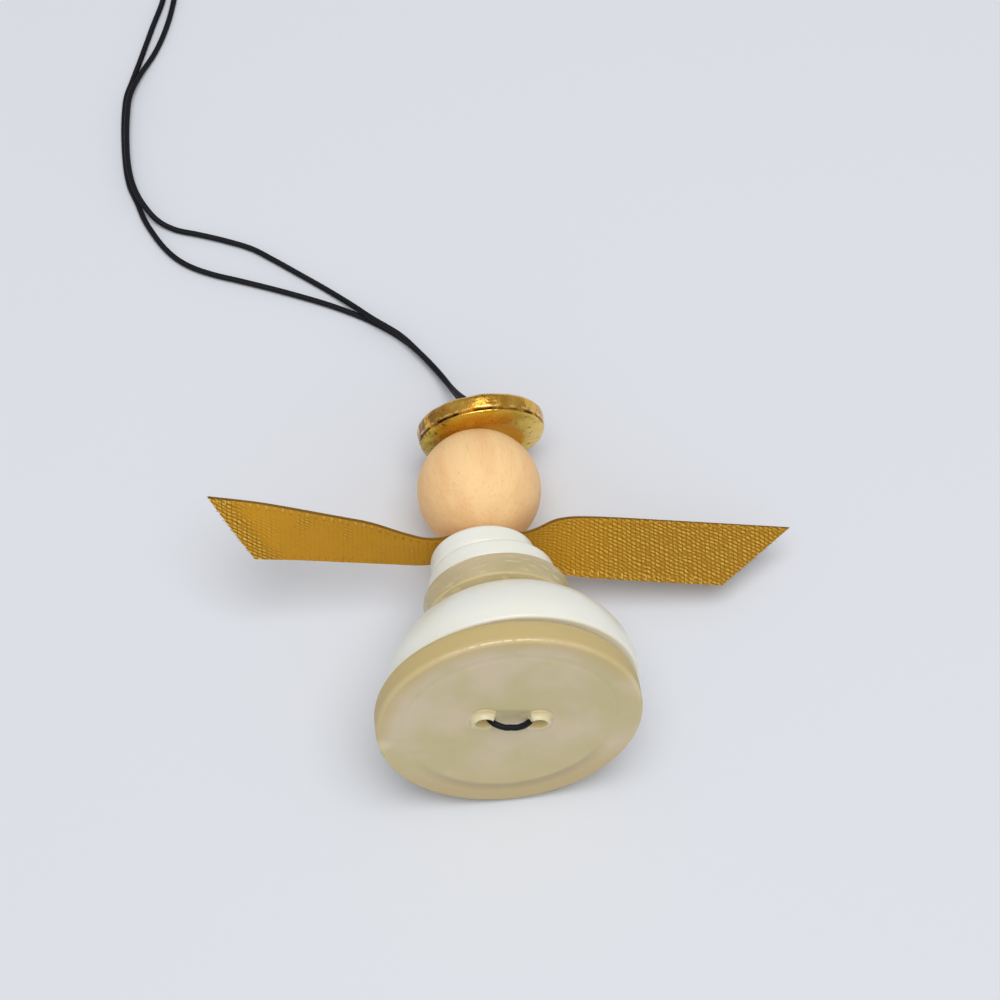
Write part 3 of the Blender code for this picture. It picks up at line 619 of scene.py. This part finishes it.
tone = mixed(tree, groove_shade, tone, tint(178, 159, 122))
chafe = vector_calc(tree, "DISTANCE", place, CHAFE_AT)["Value"]
tone = mixed(tree, span(tree, chafe, 1.5, 0.2, 0.0, 0.6), tone, tint(230, 220, 186))
# A broken pale line along the front edge at the top is a painted highlight: the glint of the light on the
# rounding.
painted_glint = span(tree, apart(tree, depth, BASE_FRONT_ROUND / 2), 0.1, 0.02)
painted_glint = times(tree, painted_glint, span(tree, radius, base_r - 0.5, base_r - 0.2))
painted_glint = times(tree, painted_glint, span(tree, apart(tree, across, -0.7), 5.0, 2.6, 0.2, 0.7))
painted_glint = times(tree, painted_glint, span(tree, down, -10.5, -13.0))
painted_glint = times(tree, painted_glint, span(tree, noise(tree, place, 1.5, 4.0), 0.42, 0.56))
tone = mixed(tree, painted_glint, tone, tint(250, 240, 204))
# The outer slopes of the collars are painted lighter on their upper side: a painted highlight where they face
# the light.
above = span(tree, down, 0.3, -1.0)
glow = BLACK
for side in (-1, 1):
    hole = Vector((side * BASE_HOLE_PITCH / 2, -BASE_HOLE_RISE, 0.0))
    hole = Matrix.Rotation(math.radians(FOLD_TURN), 3, "Z") @ hole
    near = off_axis(tree, place, hole.x, hole.y)
    crest_highlight = times(tree, span(tree, near, COLLAR_D / 2 + 0.2, lip), above)
    tone = mixed(tree, crest_highlight, tone, tint(224, 212, 174))
    # Inside the holes the colour is painted lighter and given a glow: painted light that stands in for light
    # reaching into them.
    inside = span(tree, near, BASE_HOLE_D / 2 + 0.15, BASE_HOLE_D / 2)
    tone = mixed(tree, inside, tone, tint(208, 193, 146))
    glow = mixed(tree, inside, glow, tint(126, 115, 84))
matt = span(tree, radius, base_r - 1.2, base_r - 0.4, HORN_SATIN, HORN_MATT)
feed(tree, shader, Base_Color=tone, Roughness=matt, Emission_Color=glow, Emission_Strength=0.5)
base.data.materials.append(base_shade)
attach(base, "cord_and_base")
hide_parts("base_button")

# The skirt is one thick white resin button with a low straight rim and a full dome, sewn on dome upwards.
# The resin is a little clear, so the thin stretches next to its neighbours look warm.
SKIRT_D = 27.2
SKIRT_T = 9.8
SKIRT_RIM = 1.4
SKIRT_EDGE = 0.35
SKIRT_CROWN_D = 9.0
SKIRT_FULLNESS = 1.8
SKIRT_HOLE_PITCH = 4.5
SKIRT_HOLE_D = 2.2
DOME_STEPS = 30
WHITE_SCATTER = 1.2


def white_resin(name, home, warm_at):
    """Soft-gloss white resin that turns warm at the heights where a neighbour shines through it."""
    shade, tree, shader = surface(name, 0.3)
    place = own_place(tree, home)
    patches = marks_on(tree, place, 0.16, 0.6)["Patches"]
    tone = mixed(tree, patches, tint(241, 241, 232), tint(240, 239, 226))
    height = axes(tree, place)["Z"]
    for level, reach in warm_at:
        warm = span(tree, apart(tree, height, level), reach, 0.0, 0.0, 0.45)
        tone = mixed(tree, warm, tone, tint(246, 236, 210))
    feed(tree, shader, Base_Color=tone, Subsurface_Weight=0.2, Subsurface_Radius=(1.0, 0.9, 0.75),
         Subsurface_Scale=WHITE_SCATTER * MM)
    return shade


skirt_seat = seat("skirt_turn")
crown = SKIRT_CROWN_D / 2
skirt_profile = [(0.0, SKIRT_T), (crown / 2, SKIRT_T)]
for i in range(DOME_STEPS + 1):
    part = math.sin(math.pi / 2 * (1 - i / DOME_STEPS))
    spread = max(0.0, 1 - part ** SKIRT_FULLNESS) ** (1 / SKIRT_FULLNESS)
    skirt_profile.append((crown + (SKIRT_D / 2 - crown) * spread, SKIRT_RIM + (SKIRT_T - SKIRT_RIM) * part))
skirt_profile += arc(SKIRT_D / 2 - SKIRT_EDGE, SKIRT_EDGE, SKIRT_EDGE, 0, -90)
skirt_profile += [(SKIRT_D / 4, 0.0), (0.0, 0.0)]
skirt = turned("skirt_dome", skirt_profile, skirt_seat)
for side in (-1, 1):
    thread_hole(skirt, skirt_seat, side * SKIRT_HOLE_PITCH / 2, SKIRT_HOLE_D, 0.0, SKIRT_T)
skirt.data.materials.append(white_resin("white_resin_skirt", skirt_seat, ((0.0, 0.3), (SKIRT_T, 0.4))))
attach(skirt, "skirt")
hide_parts("skirt_button")

# The waist is a medium two-hole button of the same horn-coloured resin as the base, with a rounded rim.
# It sits on the flat crown of the skirt.
WAIST_D = 16.2
WAIST_T = 3.0
WAIST_ROUND = 0.55
WAIST_FOOT = 0.2
WAIST_CROWN = 0.1
WAIST_HOLE_PITCH = 4.0
WAIST_HOLE_D = 2.2
CROWN_STEPS = 10


def button_profile(diameter, thickness, edge, crown, foot):
    """A flat back, a rounded rim with its own round at the foot, and a top that domes by the crown height."""
    flat = diameter / 2 - edge
    points = []
    for i in range(CROWN_STEPS):
        part = i / CROWN_STEPS
        points.append((flat * part, thickness + crown * math.cos(math.pi / 2 * part)))
    points += arc(flat, thickness - edge, edge, 90, 0)
    points += arc(diameter / 2 - foot, foot, foot, 0, -90)
    return points + [(flat / 2, 0.0), (0.0, 0.0)]


waist_seat = seat("waist_turn")
waist_profile = button_profile(WAIST_D, WAIST_T, WAIST_ROUND, WAIST_CROWN, WAIST_FOOT)
waist = turned("waist_disc", waist_profile, waist_seat)
for side in (-1, 1):
    thread_hole(waist, waist_seat, side * WAIST_HOLE_PITCH / 2, WAIST_HOLE_D, 0.0, WAIST_T + WAIST_CROWN)
waist_shade, tree, shader, place, tone = horn_resin(
    "horn_resin_waist", waist_seat, tint(201, 184, 146), tint(184, 172, 128), tint(192, 178, 138), WAIST_T)
height = axes(tree, place)["Z"]
tone = mixed(tree, span(tree, height, 1.2, 2.6, 0.0, 0.5), tone, tint(206, 186, 156))
streaks = noise(tree, vector_calc(tree, "MULTIPLY", place, (0.5, 0.5, 2.5))[0], 1.1, 4.0)
tone = mixed(tree, span(tree, streaks, 0.54, 0.68, 0.0, 0.5), tone, tint(226, 214, 172))
# The bottom edge of the waist is given a glow: painted light that lifts the shade under its rim.
glow = mixed(tree, span(tree, height, 0.1, 0.02), BLACK, tint(120, 109, 80))
feed(tree, shader, Base_Color=tone, Emission_Color=glow, Emission_Strength=0.6)
waist.data.materials.append(waist_shade)
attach(waist, "waist")
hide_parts("waist_button")

# The bodice is two small white two-hole buttons, the upper one smaller and domed like a shoulder.
# They are threaded one upon the other, and the seam between them shows as a thin line.
LOWER_D = 14.0
LOWER_T = 2.3
LOWER_ROUND = 0.5
LOWER_CROWN = 0.1
LOWER_HOLE_PITCH = 3.0
LOWER_HOLE_D = 2.0
UPPER_D = 11.7
UPPER_T = 2.6
UPPER_ROUND = 0.6
UPPER_CROWN = 1.6
UPPER_HOLE_PITCH = 2.6
UPPER_HOLE_D = 2.3
for name, diameter, thickness, edge, rise, pitch, hole in (
        ("lower_bodice", LOWER_D, LOWER_T, LOWER_ROUND, LOWER_CROWN, LOWER_HOLE_PITCH, LOWER_HOLE_D),
        ("upper_bodice", UPPER_D, UPPER_T, UPPER_ROUND, UPPER_CROWN, UPPER_HOLE_PITCH, UPPER_HOLE_D)):
    home = seat(f"{name}_turn")
    bodice = turned(f"{name}_disc", button_profile(diameter, thickness, edge, rise, edge), home)
    for side in (-1, 1):
        thread_hole(bodice, home, side * pitch / 2, hole, 0.0, thickness + rise)
    bodice.data.materials.append(white_resin(f"white_resin_{name}", home, ((0.0, 0.5),)))
    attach(bodice, name)
    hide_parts(f"{name}_button")

# The wings are one length of gold woven ribbon, pierced at its middle and pinched round the cord under
# the bead, with slanted cut ends. It is stiff enough to stand out, and each half twists on its way.
# Along both edges the weft turns back in small loops, and short yarn ends stand out of the cuts.
RIBBON_W = 7.0
RIBBON_T = 0.3
RIBBON_EYE_D = 3.0
RIBBON_RIGHT = 30.9
RIBBON_LEFT = 28.4
RIGHT_CUT_SLANT = 3.8
LEFT_CUT_SLANT = 2.9
WINGS_SWIVEL = 10.5
WINGS_YAW = 3.2
WING_EASE = 0.7
# Share of the wing's length, twist in degrees, then droop and both edges as shares of half the width
RIGHT_WING = (
    (0.0, 0, 0.0, 0.6, 0.8), (0.14, 0, 0.0, 0.42, 0.85), (0.2, 8, 0.0, 0.95, 0.95),
    (0.27, 24, 0.0, 1.0, 1.0), (0.35, 36, 0.0, 1.0, 1.0), (0.42, 40, 0.0, 1.0, 1.0),
    (0.57, 49, 0.0, 1.0, 1.0), (0.76, 53, 0.0, 1.0, 1.0), (1.2, 55, 0.0, 1.0, 1.0))
LEFT_WING = (
    (0.0, 0, 0.0, 0.6, 0.8), (0.1, 0, 0.06, 0.42, 0.9), (0.22, 0, 0.31, 0.25, 1.0),
    (0.34, 3, 0.26, 0.45, 1.0), (0.46, 8, 0.2, 0.72, 1.0), (0.74, 12, 0.17, 1.0, 1.0),
    (0.92, 24, 0.09, 1.0, 1.0), (1.2, 31, 0.0, 1.0, 1.0))
RIBBON_STEPS = 290
RIBBON_ROWS = 34
WEFT_SLOPE = 0.42
WEFT_PITCH = 0.42
WEFT_FLOAT = 0.56
WEFT_STEP = 0.05
RIB_PITCH = 0.38
LOOP_PITCH = 0.9
LOOP_YARN = 0.13
LOOP_REACH = 0.62
LOOP_SEGMENTS = 7
LOOP_SIDES = 5
LOOPS_FROM = 5.0
LOOP_SPREAD = 0.25
LOOP_SINK = 0.9
LOOP_FLATNESS = 1.3
FRAYS = 40
FRAY_LENGTH = 0.55
FRAY_YARN = 0.08
FRAY_EXTENT = 0.95
FRAY_STRIDES = (0.618, 0.37, 0.23, 0.71)


def wing_section(out):
    """Twist, droop and edge distances of the strip at a signed distance along it from the neck."""
    wing, length = (RIGHT_WING, RIBBON_RIGHT) if out > 0 else (LEFT_WING, RIBBON_LEFT)
    columns = list(zip(*wing))
    twist, droop, upper, lower = (float(np.interp(abs(out) / length, columns[0], c)) for c in columns[1:])
    half = RIBBON_W / 2
    return np.array([math.radians(twist), droop * half, upper * half, lower * half])


def strip_point(out, row):
    """A point of the strip: out runs along it from the neck, row from -1 to 1 up its width."""
    nearby = [wing_section(out + WING_EASE * i) for i in (-2, -1, 0, 1, 2)]
    twist, droop, upper, lower = np.mean(nearby, axis=0)
    height = (upper + lower) * (row + 1) / 2 - lower
    return Vector((out, -height * math.cos(twist), height * math.sin(twist) - droop))


def gold_weave(name, low, high):
    """Matt gold taffeta: short weft floats that step sideways from row to row, boldest at the left tip and
    over the right wing, and a dark thread along the upper edge."""
    shade, tree, shader = surface(name, 0.5)
    spot = put(tree, "ShaderNodeUVMap", uv_map="along_the_ribbon").outputs[0]
    out, up, _ = axes(tree, spot)
    sway = times(tree, noise(tree, spot, 0.5, 2.0), 0.7)
    slope = calc(tree, "ADD", times(tree, out, WEFT_SLOPE), sway)
    rows = calc(tree, "DIVIDE", calc(tree, "ADD", up, slope), WEFT_PITCH)
    shift = times(tree, calc(tree, "FLOOR", rows), WEFT_STEP)
    floats = calc(tree, "FRACT", calc(tree, "DIVIDE", calc(tree, "ADD", out, shift), WEFT_FLOAT))
    rise = calc(tree, "POWER", calc(tree, "SINE", times(tree, floats, math.pi)), 0.35)
    round_up = calc(tree, "SINE", times(tree, calc(tree, "FRACT", rows), math.pi))
    to_cut = calc(tree, "ADD", out, times(tree, up, LEFT_CUT_SLANT / RIBBON_W * 2))
    left_tip = span(tree, to_cut, -24.5, -27.0, 0.0, 0.9)
    right = times(tree, span(tree, out, 2.0, 18.0, 0.4, 0.75), span(tree, out, 1.0, 2.0))
    bold = calc(tree, "MAXIMUM", left_tip, right)
    bold = calc(tree, "MAXIMUM", bold, span(tree, noise(tree, spot, 0.3, 4.0), 0.42, 0.7, 0.12, 0.5))
    bold = times(tree, bold, span(tree, noise(tree, spot, 1.6, 3.0), 0.35, 0.62, 0.3, 1.0))
    bead = span(tree, times(tree, rise, round_up), 0.1, 0.95)
    ribs = times(tree, calc(tree, "SINE", times(tree, out, 2 * math.pi / RIB_PITCH)), 0.06)
    yarn = calc(tree, "ADD", times(tree, bead, bold), ribs)
    patches = marks_on(tree, spot, 0.25, 2.5)["Patches"]
    tone = mixed(tree, times(tree, patches, 0.5), low, tint(203, 147, 42))
    gap = times(tree, bold, calc(tree, "SUBTRACT", 1.0, bead))
    # The right wing is painted darker away from the neck, a painted shade where it turns from the light; the
    # left tip is darkened half as much.
    wing_shade = calc(tree, "MAXIMUM", span(tree, out, 3.0, 20.0, 0.0, 0.9), times(tree, left_tip, 0.5))
    tone = mixed(tree, wing_shade, tone, tint(160, 114, 18))
    tone = mixed(tree, times(tree, gap, 0.9), tone, tint(114, 77, 6))
    tone = mixed(tree, span(tree, yarn, 0.05, 1.0, 0.0, 0.8), tone, high)
    dark_thread = span(tree, up, RIBBON_W / 2 - 0.2, RIBBON_W / 2 - 0.06, 0.0, 0.75)
    tone = mixed(tree, dark_thread, tone, tint(92, 66, 24))
    feed(tree, shader, Base_Color=tone, Normal=bumps(tree, yarn, 0.7, 0.1), Specular_IOR_Level=0.12)
    return shade


def ribbon_piece(name, points, faces, spots):
    """A mesh of the ribbon that keeps the flat places, along the ribbon and up it, as its UV map."""
    mesh = bpy.data.meshes.new(name)
    mesh.from_pydata(points, [], faces)
    spread = mesh.uv_layers.new(name="along_the_ribbon")
    for loop, corner in zip(spread.data, mesh.loops):
        loop.uv = spots[corner.vertex_index]
    piece = bpy.data.objects.new(name, mesh)
    bpy.context.scene.collection.objects.link(piece)
    choose(piece)
    return piece


wings_seat = seat("wings_swivel")
wings_turn = Matrix.Rotation(math.radians(WINGS_SWIVEL), 4, "Z")
wings_turn = wings_turn @ Matrix.Rotation(math.radians(WINGS_YAW), 4, "Y")
in_wings = wings_seat @ wings_turn @ Matrix.Scale(MM, 4)
ribbon_points, ribbon_spots = [], []
for i in range(RIBBON_STEPS + 1):
    for j in range(RIBBON_ROWS + 1):
        row = 2 * j / RIBBON_ROWS - 1
        left = -(RIBBON_LEFT + LEFT_CUT_SLANT * row)
        out = left + (RIBBON_RIGHT + RIGHT_CUT_SLANT * row - left) * i / RIBBON_STEPS
        ribbon_points.append(in_wings @ strip_point(out, row))
        ribbon_spots.append((out, row * RIBBON_W / 2))
wide = RIBBON_ROWS + 1
ribbon_faces = [(i * wide + j, (i + 1) * wide + j, (i + 1) * wide + j + 1, i * wide + j + 1)
                for i in range(RIBBON_STEPS) for j in range(RIBBON_ROWS)]
ribbon = ribbon_piece("ribbon_strip", ribbon_points, ribbon_faces, ribbon_spots)
step = ribbon.modifiers.new("thickness", "SOLIDIFY")
step.thickness = RIBBON_T * MM
step.offset = 0.0
bpy.ops.object.modifier_apply(modifier=step.name)
eye_r, reach = RIBBON_EYE_D / 2, HEAD_AT / 8
eye = [(0.0, -reach), (eye_r, -reach), (eye_r, reach), (0.0, reach)]
carve(ribbon, turned("eye_punch", eye, wings_seat, HOLE_STEPS))
ribbon.data.materials.append(gold_weave("gold_ribbon_weave", tint(199, 144, 34), tint(236, 190, 82)))

loop_points, loop_faces, loop_spots = [], [], []
for edge in (-1, 1):
    first = -(RIBBON_LEFT + LEFT_CUT_SLANT * edge) + LOOP_PITCH
    last = RIBBON_RIGHT + RIGHT_CUT_SLANT * edge - LOOP_PITCH
    for number in range(int((last - first) / LOOP_PITCH) + 1):
        out = first + number * LOOP_PITCH
        if abs(out) < LOOPS_FROM:
            continue
        rim = in_wings @ strip_point(out, edge)
        inward = (in_wings @ strip_point(out, 0.7 * edge) - rim).normalized()
        onward = (in_wings @ strip_point(out + WING_EASE, edge) - rim).normalized()
        facing = inward.cross(onward).normalized()
        begin = len(loop_points)
        for i in range(LOOP_SEGMENTS + 1):
            turn = math.pi * (i / LOOP_SEGMENTS - 0.5)
            middle = rim + (inward * (LOOP_REACH * (1 - math.cos(turn)) + LOOP_SINK * LOOP_YARN)
                            + facing * RIBBON_T / 2 * math.sin(turn)
                            + onward * LOOP_SPREAD * math.sin(turn)) * MM
            thick = LOOP_YARN * (0.55 + 0.45 * math.cos(turn))
            for j in range(LOOP_SIDES):
                round_turn = 2 * math.pi * j / LOOP_SIDES
                outside = facing * math.sin(turn) - inward * math.cos(turn)
                offset = onward * LOOP_FLATNESS * math.cos(round_turn) + outside * math.sin(round_turn)
                loop_points.append(middle + offset * thick * MM)
                loop_spots.append((out, edge * RIBBON_W / 2))
        for i in range(LOOP_SEGMENTS):
            for j in range(LOOP_SIDES):
                a, b = begin + i * LOOP_SIDES + j, begin + i * LOOP_SIDES + (j + 1) % LOOP_SIDES
                loop_faces.append((a, b, b + LOOP_SIDES, a + LOOP_SIDES))
        loop_faces.append(tuple(begin + j for j in reversed(range(LOOP_SIDES))))
        loop_faces.append(tuple(begin + LOOP_SEGMENTS * LOOP_SIDES + j for j in range(LOOP_SIDES)))
for end in (-1, 1):
    for number in range(FRAYS):
        along, aslant, over, cut_short = (number * stride % 1.0 for stride in FRAY_STRIDES)
        row = 2 * FRAY_EXTENT * along - FRAY_EXTENT
        cut = RIBBON_RIGHT + RIGHT_CUT_SLANT * row if end > 0 else -(RIBBON_LEFT + LEFT_CUT_SLANT * row)
        root = in_wings @ strip_point(cut - end * 2 * FRAY_YARN, row)
        ahead = (in_wings @ strip_point(cut, row) - root).normalized()
        aside = (in_wings @ strip_point(cut - end * 2 * FRAY_YARN, row + 0.04) - root).normalized()
        facing = ahead.cross(aside)
        lean = (ahead + aside * (aslant - 0.5) + facing * (over - 0.5)).normalized()
        begin = len(loop_points)
        for j in range(3):
            turn = 2 * math.pi * j / 3
            loop_points.append(root + (aside * math.cos(turn) + facing * math.sin(turn)) * FRAY_YARN * MM)
        loop_points.append(root + lean * FRAY_LENGTH * (0.5 + 0.5 * cut_short) * MM)
        loop_spots += [(cut, row * RIBBON_W / 2)] * 4
        for corners in ((0, 2, 1), (0, 1, 3), (1, 2, 3), (2, 0, 3)):
            loop_faces.append(tuple(begin + corner for corner in corners))
selvedge = ribbon_piece("ribbon_selvedge", loop_points, loop_faces, loop_spots)
bpy.ops.object.mode_set(mode="EDIT")
bpy.ops.mesh.select_all(action="SELECT")
bpy.ops.mesh.normals_make_consistent(inside=False)
bpy.ops.object.mode_set(mode="OBJECT")
selvedge.data.shade_smooth()
loop_shade, tree, shader = surface("gold_selvedge", 0.4)
spot = put(tree, "ShaderNodeUVMap", uv_map="along_the_ribbon").outputs[0]
out, up, _ = axes(tree, spot)
# The loops are painted bright along the lower edge of the right wing near the neck and the upper edge of the
# left wing: painted glints.
lower_right = calc(tree, "MINIMUM", span(tree, out, 20.0, 14.0, 0.4), span(tree, up, 0.5, -0.5))
lower_right = calc(tree, "MINIMUM", lower_right, span(tree, out, 1.0, 3.0))
upper_left = calc(tree, "MINIMUM", span(tree, out, -8.0, -16.0, 0.0, 0.6), span(tree, up, -0.5, 0.5))
loop_glint = calc(tree, "MAXIMUM", lower_right, upper_left)
loop_glint = times(tree, loop_glint, span(tree, noise(tree, spot, 0.9, 2.0), 0.4, 0.6, 0.3))
loop_tone = mixed(tree, loop_glint, tint(188, 138, 38), tint(232, 188, 98))
feed(tree, shader, Base_Color=loop_tone, Specular_IOR_Level=0.15)
selvedge.data.materials.append(loop_shade)
for piece in (ribbon, selvedge):
    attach(piece, "wings")
    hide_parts("ribbon_wings")

# The head is a plain turned bead of pale wood, sanded but not varnished, with a chamfered bore.
# Its grain runs along the bore, with fine darker fibres and a few flecks.
HEAD_D = 14.0
HEAD_BORE_D = 3.0
HEAD_CHAMFER = 0.25
HEAD_STEPS = 64


def pale_wood(home):
    """Bare pale wood, with patches, fibres and flecks drawn out along the grain."""
    shade, tree, shader = surface("pale_wood", 0.6)
    grain = vector_calc(tree, "MULTIPLY", own_place(tree, home), (1.0, 1.0, 0.12))[0]
    marks = marks_on(tree, grain, 0.3, 4.0)
    fibre = noise(tree, grain, 3.2, 6.0, 0.65)
    tone = mixed(tree, marks["Patches"], tint(253, 212, 152), tint(248, 199, 140))
    tone = mixed(tree, span(tree, fibre, 0.5, 0.72, 0.0, 0.5), tone, tint(226, 178, 126))
    tone = mixed(tree, times(tree, marks["Specks"], 0.2), tone, tint(205, 155, 106))
    feed(tree, shader, Base_Color=tone, Normal=bumps(tree, fibre, 0.15, 0.1))
    return shade


bore = HEAD_BORE_D / 2
mouth = bore + HEAD_CHAMFER
end = math.degrees(math.acos(mouth / (HEAD_D / 2)))
bore_h = math.sin(math.radians(end)) * HEAD_D / 2 - HEAD_CHAMFER
head_profile = arc(0.0, 0.0, HEAD_D / 2, end, -end, HEAD_STEPS)
head_profile += [(bore, -bore_h), (bore, -bore_h / 2), (bore, bore_h / 2), (bore, bore_h)]
head = turned("wooden_head", head_profile, head_seat, closed=True)
head.data.materials.append(pale_wood(head_seat))
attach(head, "head")
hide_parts("head_bead")

# The halo is a thick cast disc of antique gold with two rounded bands and a crease between them. It is
# dished below so that it sits on the bead, a little askew on the cord. The casting is uneven and dark in
# its hollows; painted reflections and painted glints brighten it outside.
HALO_D = 14.6
HALO_T = 2.9
HALO_ROUND = 0.75
HALO_GROOVE_DEPTH = 0.35
HALO_GROOVE_W = 0.4
HALO_LOWER_BAND = 0.7
HALO_SHOULDER = 2.4
HALO_DISH_D = 9.6
HALO_DISH_DEPTH = 0.95
HALO_DISH_STEPS = 12
HALO_TOP_DISH = 0.5
HALO_HOLE_D = 2.8
HALO_LUMP = 1.8
HALO_LUMP_DEPTH = 0.17
HALO_SHIFT = 0.22
HALO_LIFT = 0.06
HALO_ROLL = 2.0


def antique_gold(home):
    """Antique gold: dark in the crease, blotched dark brown on the left, with painted reflections and glints.
    """
    shade, tree, shader = surface("antique_gold", 0.3)
    place = own_place(tree, home)
    marks = marks_on(tree, place, 0.55, 1.6)
    tone = mixed(tree, marks["Patches"], tint(240, 190, 88), tint(216, 158, 60))
    across, _, height = axes(tree, place)
    blots = noise(tree, place, 0.9, 3.0)
    # The left side is darkened brown in blots.
    left_dark_blots = times(tree, span(tree, across, -3.5, -6.2), span(tree, blots, 0.4, 0.54))
    tone = mixed(tree, times(tree, left_dark_blots, 0.8), tone, tint(112, 70, 38))
    tone = mixed(tree, span(tree, height, 0.75, 0.3, 0.0, 0.6), tone, tint(214, 194, 76))
    # The right side of the lower band is painted pale: a painted reflection of the table.
    pale = times(tree, span(tree, across, 3.5, 6.5), span(tree, height, 1.0, 0.5))
    tone = mixed(tree, times(tree, pale, 0.7), tone, tint(244, 212, 122))
    crease = span(tree, apart(tree, height, HALO_LOWER_BAND + HALO_GROOVE_W / 2), 0.26, 0.06)
    soot = times(tree, span(tree, noise(tree, place, 0.7, 4.0), 0.4, 0.56, 0.15, 0.9), crease)
    tone = mixed(tree, soot, tone, tint(64, 38, 14))
    tone = mixed(tree, times(tree, marks["Specks"], 0.6), tone, tint(70, 44, 20))
    # The dish is painted brighter gold and given a glow: a painted reflection of the lit bead in the
    # underside.
    dish = span(tree, off_axis(tree, place), HALO_DISH_D / 2 + 0.3, HALO_DISH_D / 2 - 0.3)
    dish = times(tree, dish, span(tree, height, HALO_T / 2 + 0.3, HALO_T / 2 - 0.3))
    tone = mixed(tree, dish, tone, tint(210, 166, 64))
    glow = mixed(tree, dish, BLACK, tint(150, 108, 26))
    # Broken bright marks along the lip above the crease are painted glints.
    edge = apart(tree, height, HALO_LOWER_BAND + HALO_GROOVE_W + 0.05)
    edge = span(tree, edge, 0.14, 0.04, 0.0, 0.75)
    edge = times(tree, edge, span(tree, noise(tree, place, 1.3, 4.0), 0.47, 0.6))
    tone = mixed(tree, edge, tone, tint(255, 238, 180))
    polish = span(tree, marks["Height"], 0.3, 0.7, 0.12, 0.32)
    polish = calc(tree, "ADD", polish, times(tree, calc(tree, "MAXIMUM", dish, edge), 0.3))
    feed(tree, shader, Base_Color=tone, Roughness=polish, Normal=bumps(tree, marks["Height"], 0.35, 0.2),
         Emission_Color=glow, Emission_Strength=0.5, Metallic=1.0)
    return shade


halo_seat = seat("halo_spin") @ Matrix.Translation((HALO_SHIFT * MM, 0.0, HALO_LIFT * MM))
halo_seat = halo_seat @ Matrix.Rotation(math.radians(HALO_ROLL), 4, "Y")
halo_r = HALO_D / 2
halo_hole = HALO_HOLE_D / 2
halo_in = halo_r - HALO_GROOVE_DEPTH / 2 - HALO_SHOULDER
halo_profile = [(halo_hole, HALO_T - HALO_TOP_DISH), (HALO_DISH_D / 4, HALO_T - 0.8 * HALO_TOP_DISH),
                (HALO_DISH_D / 2, HALO_T - 0.6 * HALO_TOP_DISH)]
halo_profile += arc(halo_r - HALO_ROUND, HALO_T - HALO_ROUND, HALO_ROUND, 90, 0)
halo_profile += [(halo_r - 0.25 * HALO_GROOVE_DEPTH, HALO_LOWER_BAND + HALO_GROOVE_W),
                 (halo_r - 0.7 * HALO_GROOVE_DEPTH, HALO_LOWER_BAND + 0.75 * HALO_GROOVE_W),
                 (halo_r - HALO_GROOVE_DEPTH, HALO_LOWER_BAND + HALO_GROOVE_W / 2)]
halo_profile += arc(halo_in, HALO_LOWER_BAND, HALO_SHOULDER, 0, -90, 14, radius_h=HALO_LOWER_BAND)
for i in range(1, HALO_DISH_STEPS + 1):
    radius = halo_in + (halo_hole - halo_in) * i / HALO_DISH_STEPS
    rise = min(1.0, (halo_in - radius) / (HALO_DISH_D / 4))
    halo_profile.append((radius, HALO_DISH_DEPTH * math.sin(math.pi / 2 * rise)))
halo = turned("halo_disc", halo_profile, halo_seat, closed=True)
lumps = bpy.data.textures.new("cast_lumps", "CLOUDS")
lumps.noise_scale = HALO_LUMP * MM
choose(halo)
step = halo.modifiers.new("cast_lumps", "DISPLACE")
step.texture = lumps
step.texture_coords = "LOCAL"
step.strength = HALO_LUMP_DEPTH * MM
bpy.ops.object.modifier_apply(modifier=step.name)
halo.data.materials.append(antique_gold(halo_seat))
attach(halo, "halo")
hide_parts("halo")
